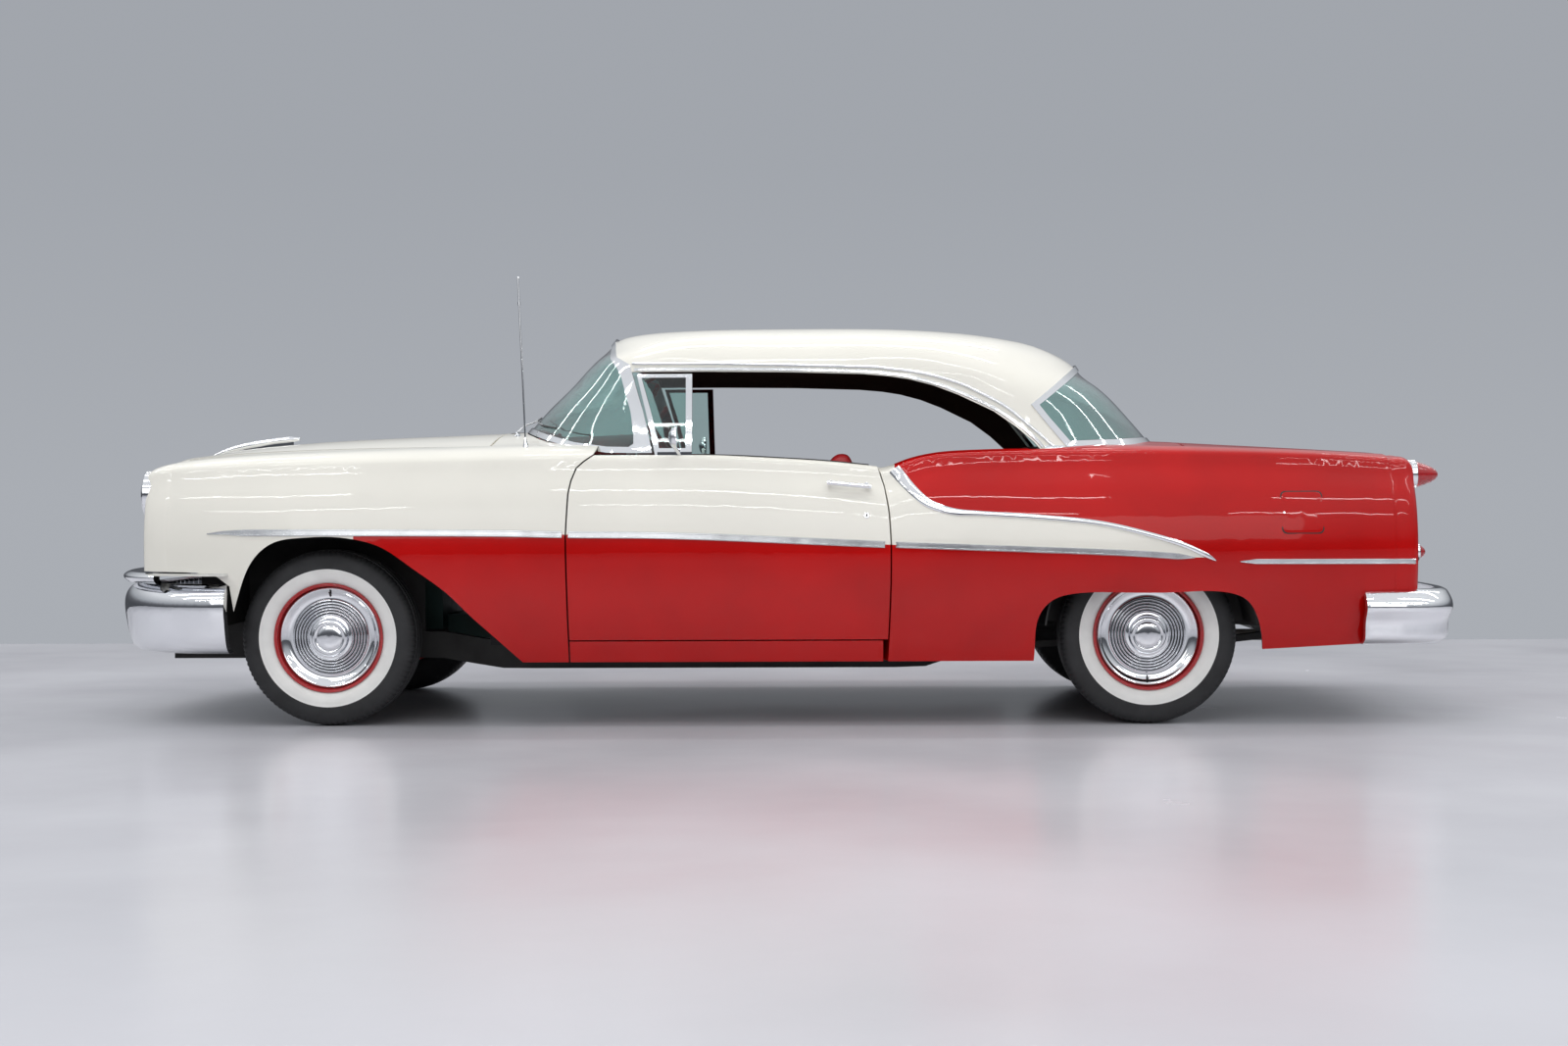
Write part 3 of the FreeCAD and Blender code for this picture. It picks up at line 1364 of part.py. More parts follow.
def arm(z, outer_y, inner_y, spread):
    """Wishbone from the frame out to its ball joint, on the left."""
    x = front_axle_x
    outline = [
        (x - ball_half, -outer_y), (x + ball_half, -outer_y), (x + spread, -inner_y),
        (x + spread - 2 * ball_half, -inner_y), (x, -outer_y + 4 * ball_half),
        (x - spread + 2 * ball_half, -inner_y), (x - spread, -inner_y),
    ]
    return prism_z(outline, z - arm_wall / 2, z + arm_wall / 2)


def make_front_suspension():
    """Wishbones and coil springs of the front wheels, seated on the frame."""
    pin_y = front_track / 2 - kingpin_inset
    side_y = rail_offset + rail_width / 2 + seat_gap
    low = axle_z - lower_arm_drop
    high = axle_z + upper_arm_rise
    x0 = front_axle_x - arm_spread * 0.8
    x1 = front_axle_x + arm_spread * 0.8
    coil = Part.makeCylinder(coil_radius, high - low - 2 * arm_wall, Vector(front_axle_x, -coil_offset, low))
    tower = block(x0, x1, -coil_offset - coil_radius, -side_y, high - 3 * arm_wall, high - 2 * arm_wall)
    brace = block(x0, x1, -side_y - arm_wall, -side_y, rail_height(front_axle_x) - rail_depth / 2, high + arm_wall)
    side = fused([arm(low, pin_y + ball_half, side_y, arm_spread), arm(high, pin_y + ball_half, side_y,
                                                                       arm_spread * 0.8), coil, tower, brace])
    parts["front_suspension"] = Part.makeCompound([side, mirrored(side)])


def make_knuckles():
    """Front stub axle with its kingpin post, steering lever and brake backing plate."""
    centre = Vector(front_axle_x, -front_track / 2, axle_z)
    way = Vector(0, 1, 0)
    pin_y = centre.y + kingpin_inset
    plate_y = centre.y + drum_depth - disc_offset + brake_plate_gap
    plate = Part.makeCylinder(backing_radius, backing_wall, Vector(centre.x, plate_y, centre.z), way)
    end = centre.y - disc_offset + seat_gap
    spindle = Part.makeCylinder(spindle_radius, plate_y + backing_wall - end, Vector(centre.x, end, centre.z), way)
    low = axle_z - lower_arm_drop + arm_wall / 2 + seat_gap
    high = axle_z + upper_arm_rise - arm_wall / 2 - seat_gap
    post = Part.makeCylinder(kingpin_radius, high - low, Vector(centre.x, pin_y, low))
    boss = block(centre.x - knuckle_half, centre.x + knuckle_half, plate_y, pin_y + kingpin_radius,
                 centre.z - knuckle_half, centre.z + knuckle_half)
    lever = block(centre.x, centre.x + arm_spread, pin_y - kingpin_radius, pin_y + kingpin_radius,
                  centre.z - 2 * knuckle_half, centre.z - knuckle_half)
    parts["knuckle_left"] = fused([plate, spindle, post, boss, lever])
    parts["knuckle_right"] = mirrored(parts["knuckle_left"])


def make_rear_axle():
    """Live axle on two leaf springs under the rails, with the propeller shaft ahead of it."""
    x = rear_axle_x
    way = Vector(0, 1, 0)
    plate_y = rear_track / 2 - drum_depth + disc_offset - brake_plate_gap
    tube = Part.makeCylinder(axle_tube, 2 * plate_y, Vector(x, -plate_y, axle_z), way)
    centre = Part.makeSphere(differential_radius, Vector(x, 0, axle_z))
    plate = Part.makeCylinder(backing_radius, backing_wall, Vector(x, -plate_y, axle_z), way)
    end = -rear_track / 2 - disc_offset + seat_gap
    stub = Part.makeCylinder(spindle_radius, -plate_y + backing_wall - end, Vector(x, end, axle_z), way)
    spring_y = -rail_offset - spring_width / 2
    eye_places = []
    eyes = []
    for share in spring_end_shares:
        eye_x = along(share)
        under = min(rail_height(eye_x - spring_eye), rail_height(eye_x + spring_eye)) - rail_depth
        eye_places.append((eye_x, under - spring_eye - seat_gap))
        eyes.append(Part.makeCylinder(spring_eye, spring_width, Vector(eye_x, spring_y, eye_places[-1][1]), way))
    line = [eye_places[0]] + places(spring_shares) + [eye_places[1]]
    top = [Vector(a, spring_y, b + spring_wall / 2) for a, b in line]
    low = [Vector(a, spring_y, b - spring_wall / 2) for a, b in reversed(line)]
    wire = Part.Wire([spline(top), Part.makeLine(top[-1], low[0]), spline(low), Part.makeLine(low[-1], top[0])])
    leaf = Part.Face(wire).extrude(Vector(0, spring_width, 0))
    clamp = block(x - clamp_half, x + clamp_half, spring_y, spring_y + spring_width,
                  up(spring_shares[1][1]) - spring_wall, axle_z + spring_wall)
    side = [plate, stub, leaf, clamp] + eyes
    axle = fused([tube, centre] + side + [mirrored(piece) for piece in side])
    start = along(gearbox_rear_share) + seat_gap
    reach = math.sqrt(differential_radius ** 2 - propshaft_radius ** 2)
    shaft = Part.makeCylinder(propshaft_radius, rear_axle_x - reach - start + seat_gap, Vector(start, 0, axle_z),
                              Vector(1, 0, 0))
    parts["rear_axle"] = largest(axle.fuse(shaft).removeSplitter())


# Power train, tank and exhaust
engine_front_share = -0.1388
engine_rear_share = 0.1065
engine_half = 235.0
engine_top_share = 0.513
gearbox_rear_share = 0.284
gearbox_half = 112.0
gearbox_top_share = 0.2494
propshaft_radius = 34.0
radiator_x_share = -0.1807
radiator_half_wall = 30.0
radiator_half = 380.0
radiator_top_share = 0.5844
tank_depth = 150.0
tank_half = 360.0
tank_fillet = 40.0
exhaust_offset = 270.0
exhaust_radius = 24.0
muffler_radius = 50.0
exhaust_shares = [
    (0.1113, 0.2052), (0.1807, 0.1545), (0.5486, 0.1506), (0.8712, 0.1558), (0.9229, 0.3052), (1.0745, 0.3052),
    (1.1229, 0.1714), (1.3198, 0.1714),
]
muffler_shares = (0.5679, 0.7519)


def make_power():
    """Engine and gearbox as a plain block, the radiator, and the fuel tank."""
    x = front_axle_x
    low = rail_height(x) - panel_gap + seat_gap
    engine = block(along(engine_front_share), along(engine_rear_share), -engine_half, engine_half, low,
                   up(engine_top_share))
    low = rail_height(along(crossmember_shares[2])) - panel_gap + seat_gap
    gearbox = block(along(engine_rear_share), along(gearbox_rear_share), -gearbox_half, gearbox_half, low,
                    up(gearbox_top_share))
    x = along(radiator_x_share)
    low = rail_height(x) - panel_gap + seat_gap
    radiator = block(x - radiator_half_wall, x + radiator_half_wall, -radiator_half, radiator_half, low,
                     up(radiator_top_share))
    parts["engine"] = Part.makeCompound([fused([engine, gearbox]), radiator])
    low = up(trunk_floor_share) - tank_depth - seat_gap
    tank = block(along(1.1488), along(1.2746), -tank_half, tank_half, low, low + tank_depth)
    edges = []
    for edge in tank.Edges:
        ends = [vertex.Point for vertex in edge.Vertexes]
        if abs(ends[0].y - ends[1].y) > tank_half:
            edges.append(edge)
    parts["fuel_tank"] = tank.makeFillet(tank_fillet, edges)


def exhaust_solid(grow):
    """Bent pipe and its muffler, all fatter by grow."""
    points = [Vector(x, exhaust_offset, z) for x, z in places(exhaust_shares)]
    run = Part.Wire([Part.makeLine(a, b) for a, b in zip(points, points[1:])])
    ring = Part.Wire([Part.makeCircle(exhaust_radius + grow, points[0], points[1] - points[0])])
    pipe = run.makePipeShell([ring], True, True, 1)
    start = Vector(along(muffler_shares[0]), exhaust_offset, up(exhaust_shares[2][1]))
    length = along(muffler_shares[1]) - start.x
    muffler = Part.makeCylinder(muffler_radius + grow, length, start, Vector(1, 0, 0))
    return fused([pipe, muffler])


# Floor, wheel houses
tunnel_half = 142.0
tunnel_top_share = 0.2623
tunnel_end_share = 0.7115
trunk_floor_share = 0.3052
axle_floor_share = 0.3675
floor_shares = [
    (0.1952, 0.3325), (0.2485, 0.1896), (0.6938, 0.1896), (0.718, 0.2805), (0.8261, 0.2805), (0.8583, 0.3675),
    (1.1068, 0.3675), (1.1294, 0.3052), (1.3288, 0.3052),
]
well_tread_clearance = 57.0
tyre_well_radius = tyre_radius + well_tread_clearance
well_wall = 7.0
well_inner_clearance = 18.506
well_outer_share = 0.916
apron_wall = 7.0


def well_inner():
    """Inner face of a rear wheel housing, beside the tyre that it clears."""
    return rear_track / 2 - tyre_width / 2 - well_inner_clearance


def make_floor():
    """Floor pan from the toe board to the tail, with its tunnel and the kick-up over the axle."""
    low = places(floor_shares)
    outline = low + [(x, z + floor_wall) for x, z in reversed(low)]
    toe = out(kick_panel_share) - floor_wall - seat_gap
    cabin = out(cabin_half_share) - seat_gap
    narrow = well_inner() - well_wall - seat_gap
    side = []
    for share, half in ((0.1936, toe), (0.3562, toe), (0.3562, cabin), (0.8693, cabin), (0.8693, narrow),
                        (1.1313, narrow), (1.1313, out(0.8482)), (1.2859, out(0.8482)), (1.2859, out(0.6032)),
                        (1.3391, out(0.6032))):
        side.append((along(share), half))
    plan = side + [(x, -y) for x, y in reversed(side)]
    pan = prism_y(outline, -half_width, half_width).common(prism_z(plan, 0, body_height))
    end = along(tunnel_end_share)
    high = up(tunnel_top_share)
    pan = pan.cut(block(along(0.1742), end, -tunnel_half, tunnel_half, 0, high - floor_wall))
    shell = block(along(0.2065), end, -tunnel_half - floor_wall, tunnel_half + floor_wall, low[1][1], high)
    shell = shell.cut(block(along(0.1936), end + overrun, -tunnel_half, tunnel_half, 0, high - floor_wall))
    strip = []
    for way in (-1, 1):
        y0, y1 = sorted((way * (toe - overrun), way * cabin))
        strip.append(block(along(0.3227), along(0.3582), y0, y1, low[1][1], low[1][1] + floor_wall))
    parts["floor"] = largest(fused([pan, shell] + strip))


def make_wells():
    """Rear wheel housings, and the front aprons beside the engine."""
    inner = well_inner()
    outer = out(well_outer_share)
    centre = Vector(rear_axle_x, -outer, axle_z)
    way = Vector(0, 1, 0)
    drum = Part.makeCylinder(tyre_well_radius + well_wall, outer - inner + well_wall, centre, way)
    hollow = Part.makeCylinder(tyre_well_radius, outer - inner, centre, way)
    low = axle_z + axle_tube + panel_gap
    reach = 2 * tyre_well_radius
    keep = block(rear_axle_x - reach, rear_axle_x + reach, -half_width, 0, low, body_height)
    well = drum.cut(hollow).common(keep)
    side_y = rail_offset + rail_width / 2
    low = rail_height(front_axle_x) + seat_gap
    apron = block(along(-0.1904), along(0.0968), -side_y, -side_y + apron_wall, low, up(0.6039))
    parts["wheel_houses"] = Part.makeCompound([well, mirrored(well), apron, mirrored(apron)])


# Cabin
front_seat_half = 640.0
rear_seat_half = 690.0
seat_leg_drop_share = 0.2065
front_seat_shares = [
    (0.4292, 0.2065), (0.4253, 0.3636), (0.434, 0.3844), (0.5776, 0.3636), (0.6131, 0.6623), (0.6244, 0.6805),
    (0.6405, 0.6792), (0.647, 0.6558), (0.6244, 0.2727), (0.6131, 0.2065),
]
rear_seat_shares = [
    (0.7202, 0.2896), (0.717, 0.3831), (0.726, 0.3994), (0.8261, 0.3818), (0.8545, 0.6104), (0.86, 0.6247),
    (0.8661, 0.6104), (0.868, 0.4026), (0.8474, 0.3636), (0.8196, 0.2896),
]


def make_seats():
    """Front and rear bench seats on short risers."""
    for name, shares, half, ground in (("front_seat", front_seat_shares, front_seat_half, floor_shares[2][1]),
                                       ("rear_seat", rear_seat_shares, rear_seat_half, floor_shares[4][1])):
        outline = places(shares)
        seat = prism_y(outline, -half, half)
        if name == "front_seat":
            hump = tunnel_half + floor_wall + panel_gap
            seat = seat.cut(block(outline[0][0] - overrun * 2, outline[-1][0] + overrun * 2, -hump, hump, 0,
                                  up(tunnel_top_share) + panel_gap))
        base = up(shares[0][1]) + panel_gap
        low = up(ground) + floor_wall + seat_gap
        pieces = [seat]
        for way in (-1, 1):
            y0, y1 = sorted((way * half * 0.4, way * half * 0.8))
            pieces.append(block(outline[0][0] + overrun, outline[-1][0] - overrun, y0, y1, low, base))
        parts[name] = fused(pieces)


steering_centre_shares = (0.4163, 0.3897, 0.6266)
steering_rake = 30.0
steering_radius = 205.0
steering_tube = 11.0
steering_hub = 38.0
steering_dish = 55.0
column_radius = 27.0
shaft_radius = 13.0
shaft_gap = 0.06
spoke_radius = 8.0
steering_spokes = 3


def steering_axis():
    rake = math.radians(steering_rake)
    return Vector(math.cos(rake), 0, math.sin(rake))


def column_reach():
    """Distance down the column from the steering wheel's hub to the firewall."""
    low = spot(steering_centre_shares) - steering_axis() * steering_dish
    return (low.x - along(cowl_front_gap_share) - floor_wall - seat_gap) / steering_axis().x


def column_bore():
    """Bore for the steering shaft, from half way down the column up past its end."""
    axis = steering_axis()
    end = spot(steering_centre_shares) - axis * (steering_dish + panel_gap)
    length = column_reach() / 2
    return Part.makeCylinder(shaft_radius + shaft_gap, length + overrun, end - axis * length, axis)


def make_column():
    """Jacket of the steering column from the firewall up to the wheel's hub."""
    axis = steering_axis()
    low = spot(steering_centre_shares) - axis * steering_dish
    start = low - axis * (column_reach() + column_radius)
    end = low - axis * panel_gap
    jacket = Part.makeCylinder(column_radius, (end - start).Length, start, axis)
    wall_x = along(cowl_front_gap_share) + floor_wall + seat_gap
    return largest(jacket.cut(block(-half_length, wall_x, -half_width, half_width, 0, body_height)))


def make_steering_wheel():
    centre = spot(steering_centre_shares)
    axis = steering_axis()
    low = centre - axis * steering_dish
    root = low + axis * steering_dish * 0.35
    side = Vector(0, 1, 0)
    across = axis.cross(side)
    pieces = [Part.makeTorus(steering_radius, steering_tube, centre, axis),
              Part.makeCylinder(steering_hub, steering_dish * 0.7, low, axis)]
    for i in range(steering_spokes):
        angle = math.radians(90 + 360 * i / steering_spokes)
        tip = centre + (side * math.cos(angle) + across * math.sin(angle)) * steering_radius
        pieces.append(Part.makeCylinder(spoke_radius, (tip - root).Length, root, tip - root))
    shaft_end = low - axis * (column_reach() / 2)
    pieces.append(Part.makeCylinder(shaft_radius, (low - shaft_end).Length + shaft_radius, shaft_end, axis))
    parts["steering_wheel"] = fused(pieces)


# Bright and small fittings: (x share, radius, height of the axis over the hood)
ornament_shares = [
    (-0.2188, 0.0019, 0.0078), (-0.2065, 0.0052, 0.0117), (-0.1807, 0.0078, 0.0156), (-0.1484, 0.0084, 0.0175), (-0.1226, 0.0078, 0.0182),
    (-0.1026, 0.0052, 0.0169), (-0.0981, 0.0019, 0.0162),
]
ornament_foot_shares = (-0.1742, -0.1065)
ornament_foot_half = 4.0


def make_ornament():
    """Plain dart on the nose of the hood, on a thin foot."""
    wires = []
    for share, size, lift in ornament_shares:
        x = along(share)
        centre = Vector(x, 0, front_crown(x) + up(lift))
        wires.append(Part.Wire([Part.makeCircle(up(size), centre, Vector(1, 0, 0))]))
    x0 = along(ornament_foot_shares[0])
    x1 = along(ornament_foot_shares[1])
    lift = up(ornament_shares[3][2])
    foot = prism_y([(x0, front_crown(x0) - overrun), (x0, front_crown(x0) + lift), (x1, front_crown(x1) + lift),
                    (x1, front_crown(x1) - overrun)], -ornament_foot_half, ornament_foot_half)
    whole = loft(wires).fuse(foot).cut(parts["hood"])
    parts["hood_ornament"] = max(whole.Solids, key=lambda solid: solid.BoundBox.ZMax)


antenna_shares = (0.241, 0.7794, 1.1039)
antenna_rod = 3.0
antenna_base = 14.0
antenna_base_height = 36.0
antenna_collar = 5.0
antenna_lean = 0.042
antenna_spread = 0.02


def surface_height(shape, x, y):
    """Height of a solid's upper surface over a place in plan."""
    line = Part.makeLine(Vector(x, y, up(0.5844)), Vector(x, y, body_height)).common(shape)
    return max(vertex.Point.z for vertex in line.Vertexes)


def make_antenna():
    """Telescopic mast on the left fender, leaning forward a little."""
    x = along(antenna_shares[0])
    y = -out(antenna_shares[1])
    ground = surface_height(parts["fender_left"], x, y)
    lean = Vector(-antenna_lean, antenna_spread, 1)
    foot = Vector(x, y, ground - antenna_base)
    length = up(antenna_shares[2]) - foot.z
    tip = foot + lean * length
    pieces = [
        Part.makeCone(antenna_base, antenna_rod, antenna_base_height + antenna_base, foot, lean),
        Part.makeCylinder(antenna_rod, (tip - foot).Length, foot, lean),
        Part.makeCylinder(antenna_collar, antenna_base, foot + lean * length * 0.84, lean),
        Part.makeSphere(antenna_collar, tip),
    ]
    step = antenna_base
    rise_x = (surface_height(parts["fender_left"], x + step, y) - ground) / step
    rise_y = (surface_height(parts["fender_left"], x, y + step) - surface_height(parts["fender_left"], x, y - step))
    rise_y = rise_y / (2 * step)
    corners = []
    for dx, dy in ((-overrun, -overrun), (overrun, -overrun), (overrun, overrun), (-overrun, overrun)):
        corners.append(Vector(x + dx, y + dy, ground + antenna_gap + rise_x * dx + rise_y * dy))
    below = Part.Face(polygon(corners)).extrude(Vector(0, 0, -2 * overrun))
    parts["antenna"] = largest(fused(pieces).cut(below))


handle_shares = (0.6108, 0.6641, 0.5935)
handle_reach_share = 0.9555
handle_radius = 9.0
handle_post_radius = 6.5
handle_drop = 0.1
mirror_shares = (0.4195, 0.9231, 0.7052)
mirror_radius = 43.0
mirror_depth = 26.0
mirror_profile_shares = [(0, 0), (0.2, 0.5), (0.6, 0.9), (1, 1), (1.25, 0.97), (1.25, 0)]
mirror_stem = 7.0
mirror_foot_shares = (0.405, 0.4469)
mirror_foot_width = 16.0
mirror_foot_height = 11.0


def make_door_fittings():
    """Pull handle, and the mirror on its stalk, on each door."""
    x0 = along(handle_shares[0])
    x1 = along(handle_shares[1])
    z = up(handle_shares[2])
    y = -out(handle_reach_share)
    run = Vector(1, 0, -handle_drop)
    start = Vector(x0, y, z)
    pieces = [Part.makeCylinder(handle_radius, (x1 - x0) * run.Length, start, run)]
    for share in (0.08, 0.92):
        pieces.append(Part.makeCylinder(handle_post_radius, 2 * overrun, start + run * (x1 - x0) * share,
                                        Vector(0, 1, 0)))
    handle = fused(pieces).cut(parts["door_left"])
    handle = min(handle.Solids, key=lambda solid: solid.BoundBox.YMin)
    centre = spot(mirror_shares)
    profile = [(mirror_depth * a, mirror_radius * b) for a, b in mirror_profile_shares]
    head = revolved_x(profile[1:] + [profile[0]], centre, 1)
    foot_y = -(crest_width(centre.x) - crest_radius)
    ground = crest_height(centre.x)
    foot = block(along(mirror_foot_shares[0]), along(mirror_foot_shares[1]), foot_y - mirror_foot_width / 2,
                 foot_y + mirror_foot_width / 2, ground - mirror_foot_height, ground + mirror_foot_height)
    base = Vector(centre.x + overrun, foot_y, ground)
    aim = centre + Vector(mirror_depth * 0.7, 0, -mirror_radius * 0.6) - base
    stem = Part.makeCylinder(mirror_stem, aim.Length, base, aim)
    mirror = fused([head, stem, foot]).cut(parts["door_left"])
    mirror = max(mirror.Solids, key=lambda solid: solid.BoundBox.ZMax)
    left = Part.makeCompound([handle, mirror])
    parts["door_fittings_left"] = left
    parts["door_fittings_right"] = mirrored(left)


def cabin_blank():
    """Thick side wall of the cabin, from which the doors and sills are cut."""
    return loft([door_section(x) for x in between(along(0.2807), along(0.7099), 19)])


def build():
    make_glass()
    make_roof()
    panel = hood_panel()
    make_hood(panel)
    shell = front_shell()
    make_fenders(shell)
    make_cowl(shell, body_core(between(along(0.0968), along(0.3872), 6), full_front), panel)
    blank = cabin_blank()
    make_doors(blank)
    make_vents()
    make_quarters(rear_shell())
    make_trunk()
    parts["roof"] = largest(parts["roof"].cut(parts["quarter_left"]).cut(parts["quarter_right"]))
    make_lamps()
    make_front_bumper()
    make_rear_bumper()
    make_grille()
    make_valance()
    make_wheels()
    make_frame()
    make_front_suspension()
    make_knuckles()
    make_rear_axle()
    make_power()
    parts["exhaust"] = exhaust_solid(0)
    make_floor()
    make_wells()
    make_seats()
    make_steering_wheel()
    make_ornament()
    make_antenna()
    make_door_fittings()


build()
os.makedirs("parts", exist_ok=True)
for name, shape in parts.items():
    shape.exportStep("parts/" + name + ".step")
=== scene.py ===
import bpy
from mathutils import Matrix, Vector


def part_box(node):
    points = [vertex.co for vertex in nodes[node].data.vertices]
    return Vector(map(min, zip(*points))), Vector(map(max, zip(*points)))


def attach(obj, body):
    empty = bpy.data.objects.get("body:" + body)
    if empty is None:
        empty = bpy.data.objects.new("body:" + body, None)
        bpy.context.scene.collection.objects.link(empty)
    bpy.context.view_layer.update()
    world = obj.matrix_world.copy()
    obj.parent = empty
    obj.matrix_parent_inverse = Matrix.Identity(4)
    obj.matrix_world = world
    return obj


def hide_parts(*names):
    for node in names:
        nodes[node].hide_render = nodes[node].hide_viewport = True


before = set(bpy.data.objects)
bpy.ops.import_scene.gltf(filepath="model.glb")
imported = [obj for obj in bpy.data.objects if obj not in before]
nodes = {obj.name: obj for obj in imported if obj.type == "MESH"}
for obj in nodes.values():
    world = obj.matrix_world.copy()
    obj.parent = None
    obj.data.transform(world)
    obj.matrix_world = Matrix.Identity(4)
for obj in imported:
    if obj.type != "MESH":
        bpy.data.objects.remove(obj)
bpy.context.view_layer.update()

import math

import bmesh
import bpy
from mathutils import Matrix, Vector
from mathutils.bvhtree import BVHTree

# The car faces -X and its left side faces -Y. Places along the car are given in millimetres
# behind the front axle, as (x, z) pairs, and turned into metres of the frame by at(), point() and spot().
MM = 0.001
wheel_low, wheel_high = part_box("tyre_front_left")
FRONT_AXLE = (wheel_low.x + wheel_high.x) / 2
AXLE_Z = (wheel_low.z + wheel_high.z) / 2
REAR_AXLE = sum(corner.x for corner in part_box("tyre_rear_left")) / 2
BESIDE, ABOVE, BEHIND = 1.4, 2.0, 3.0
SIDES = {"left": -1, "right": 1}


def at(x):
    return FRONT_AXLE + x * MM


def vec(x, y, z):
    return Vector((x, y, z))


def point(x, y, z):
    return Vector((at(x), y, z))


def spot(x, z):
    return at(x), z * MM


# Lines of the side, measured on the photograph as (x, z)
spear_line = [(-438, 733), (-326, 737), (100, 736), (639, 732), (858, 727), (1380, 718), (2111, 684), (2638, 664),
    (2988, 649), (3249, 631)]
dip_line = [(2146, 962), (2194, 904), (2236, 861), (2272, 834), (2326, 813), (2386, 801), (2456, 797), (2684, 782),
    (2902, 759), (3076, 719), (3207, 679), (3294, 639), (3328, 619)]
rear_strip_line = [(3418, 615), (3760, 613), (4080, 611)]
red_start = 124
door_front_edge = 929
door_rear_edge = 2109
door_gap = 6


# Materials
def add(tree, kind, ins=None, **attributes):
    """New shader node. ins gives its inputs by name or number, a socket or a value."""
    node = tree.nodes.new("ShaderNode" + kind)
    for key, value in attributes.items():
        setattr(node, key, value)
    for key, value in (ins or {}).items():
        if isinstance(value, bpy.types.NodeSocket):
            tree.links.new(value, node.inputs[key])
        else:
            node.inputs[key].default_value = value
    return node


def surface_place(tree):
    return add(tree, "TexCoord").outputs["Object"]


def wire(tree, shader, **sockets):
    """Link sockets to the shader's inputs, given by name."""
    for key, socket in sockets.items():
        tree.links.new(socket, shader.inputs[key.replace("_", " ")])


def math_node(tree, operation, a, b=0.0):
    return add(tree, "Math", {0: a, 1: b}, operation=operation).outputs[0]


def noise(tree, scale, detail=3.0, stretch=(1, 1, 1)):
    place = surface_place(tree)
    if stretch != (1, 1, 1):
        place = add(tree, "Mapping", {"Vector": place, "Scale": stretch}).outputs[0]
    return add(tree, "TexNoise", {"Vector": place, "Scale": scale, "Detail": detail}).outputs["Fac"]


def ramp(tree, factor, stops):
    node = add(tree, "ValToRGB", {"Fac": factor})
    while len(node.color_ramp.elements) < len(stops):
        node.color_ramp.elements.new(0.5)
    for element, (place, colour) in zip(node.color_ramp.elements, stops):
        element.position = place
        element.color = (*colour, 1)
    return node.outputs["Color"]


def shades(colour, spread):
    return [tuple(max(0, c * (1 + way * spread)) for c in colour) for way in (-1, 0, 1)]


def tinted(tree, colour, spread, scale, detail=3.0):
    """Colour that drifts a little darker and lighter over the surface."""
    low, middle, high = shades(colour, spread)
    return ramp(tree, noise(tree, scale, detail), [(0.3, low), (0.5, middle), (0.7, high)])


def ranged(tree, value, low, high):
    return add(tree, "MapRange", {"Value": value, "To Min": low, "To Max": high}).outputs[0]


def share_of(tree, value, start, end):
    return add(tree, "MapRange", {"Value": value, "From Min": start, "From Max": end}).outputs[0]


def bumped(tree, height, strength, distance=0.001):
    return add(tree, "Bump", {"Height": height, "Strength": strength, "Distance": distance}).outputs[0]


def mixed(tree, factor, a, b):
    return add(tree, "Mix", {0: factor, 6: a, 7: b}, data_type="RGBA").outputs[2]


def blank(name, **fixed):
    """Material with a principled shader whose fixed inputs are set by name."""
    made = bpy.data.materials.new(name)
    made.use_nodes = True
    shader = made.node_tree.nodes["Principled BSDF"]
    for key, value in fixed.items():
        shader.inputs[key.replace("_", " ")].default_value = value
    return made, made.node_tree, shader


def finish(name, colour, spread=0.06, patch=5.0, rough=(0.3, 0.4), grain=400.0, bump=0.1, stretch=(1, 1, 1),
        **fixed):
    """Everyday material: colour drift, worn and polished patches and a fine grain."""
    made, tree, shader = blank(name, **fixed)
    wire(tree, shader, Base_Color=tinted(tree, colour, spread, patch),
        Roughness=ranged(tree, noise(tree, patch * 2.3), *rough),
        Normal=bumped(tree, noise(tree, grain, 2.0, stretch), bump))
    return made


WHITE = (0.80, 0.776, 0.70)
RED = (0.455, 0.0025, 0.002)
DARK = (0.022, 0.021, 0.02)
COAT = 0.6
CURVE_X = (-0.5, 4.2)
CURVE_Z = (0.4, 1.2)


def curve_height(tree, x_share, line):
    """Height of a line of the side over x, both as shares of the curve's own ranges."""
    node = add(tree, "FloatCurve", {"Value": x_share})
    curve = node.mapping.curves[0]
    points = []
    for x, z in line:
        points.append(((x * MM - CURVE_X[0]) / (CURVE_X[1] - CURVE_X[0]),
            (z * MM - CURVE_Z[0]) / (CURVE_Z[1] - CURVE_Z[0])))
    while len(curve.points) < len(points):
        curve.points.new(0.5, 0.5)
    for point, (u, v) in zip(curve.points, points):
        point.location = (u, v)
        point.handle_type = "VECTOR"
    node.mapping.update()
    return node.outputs[0]


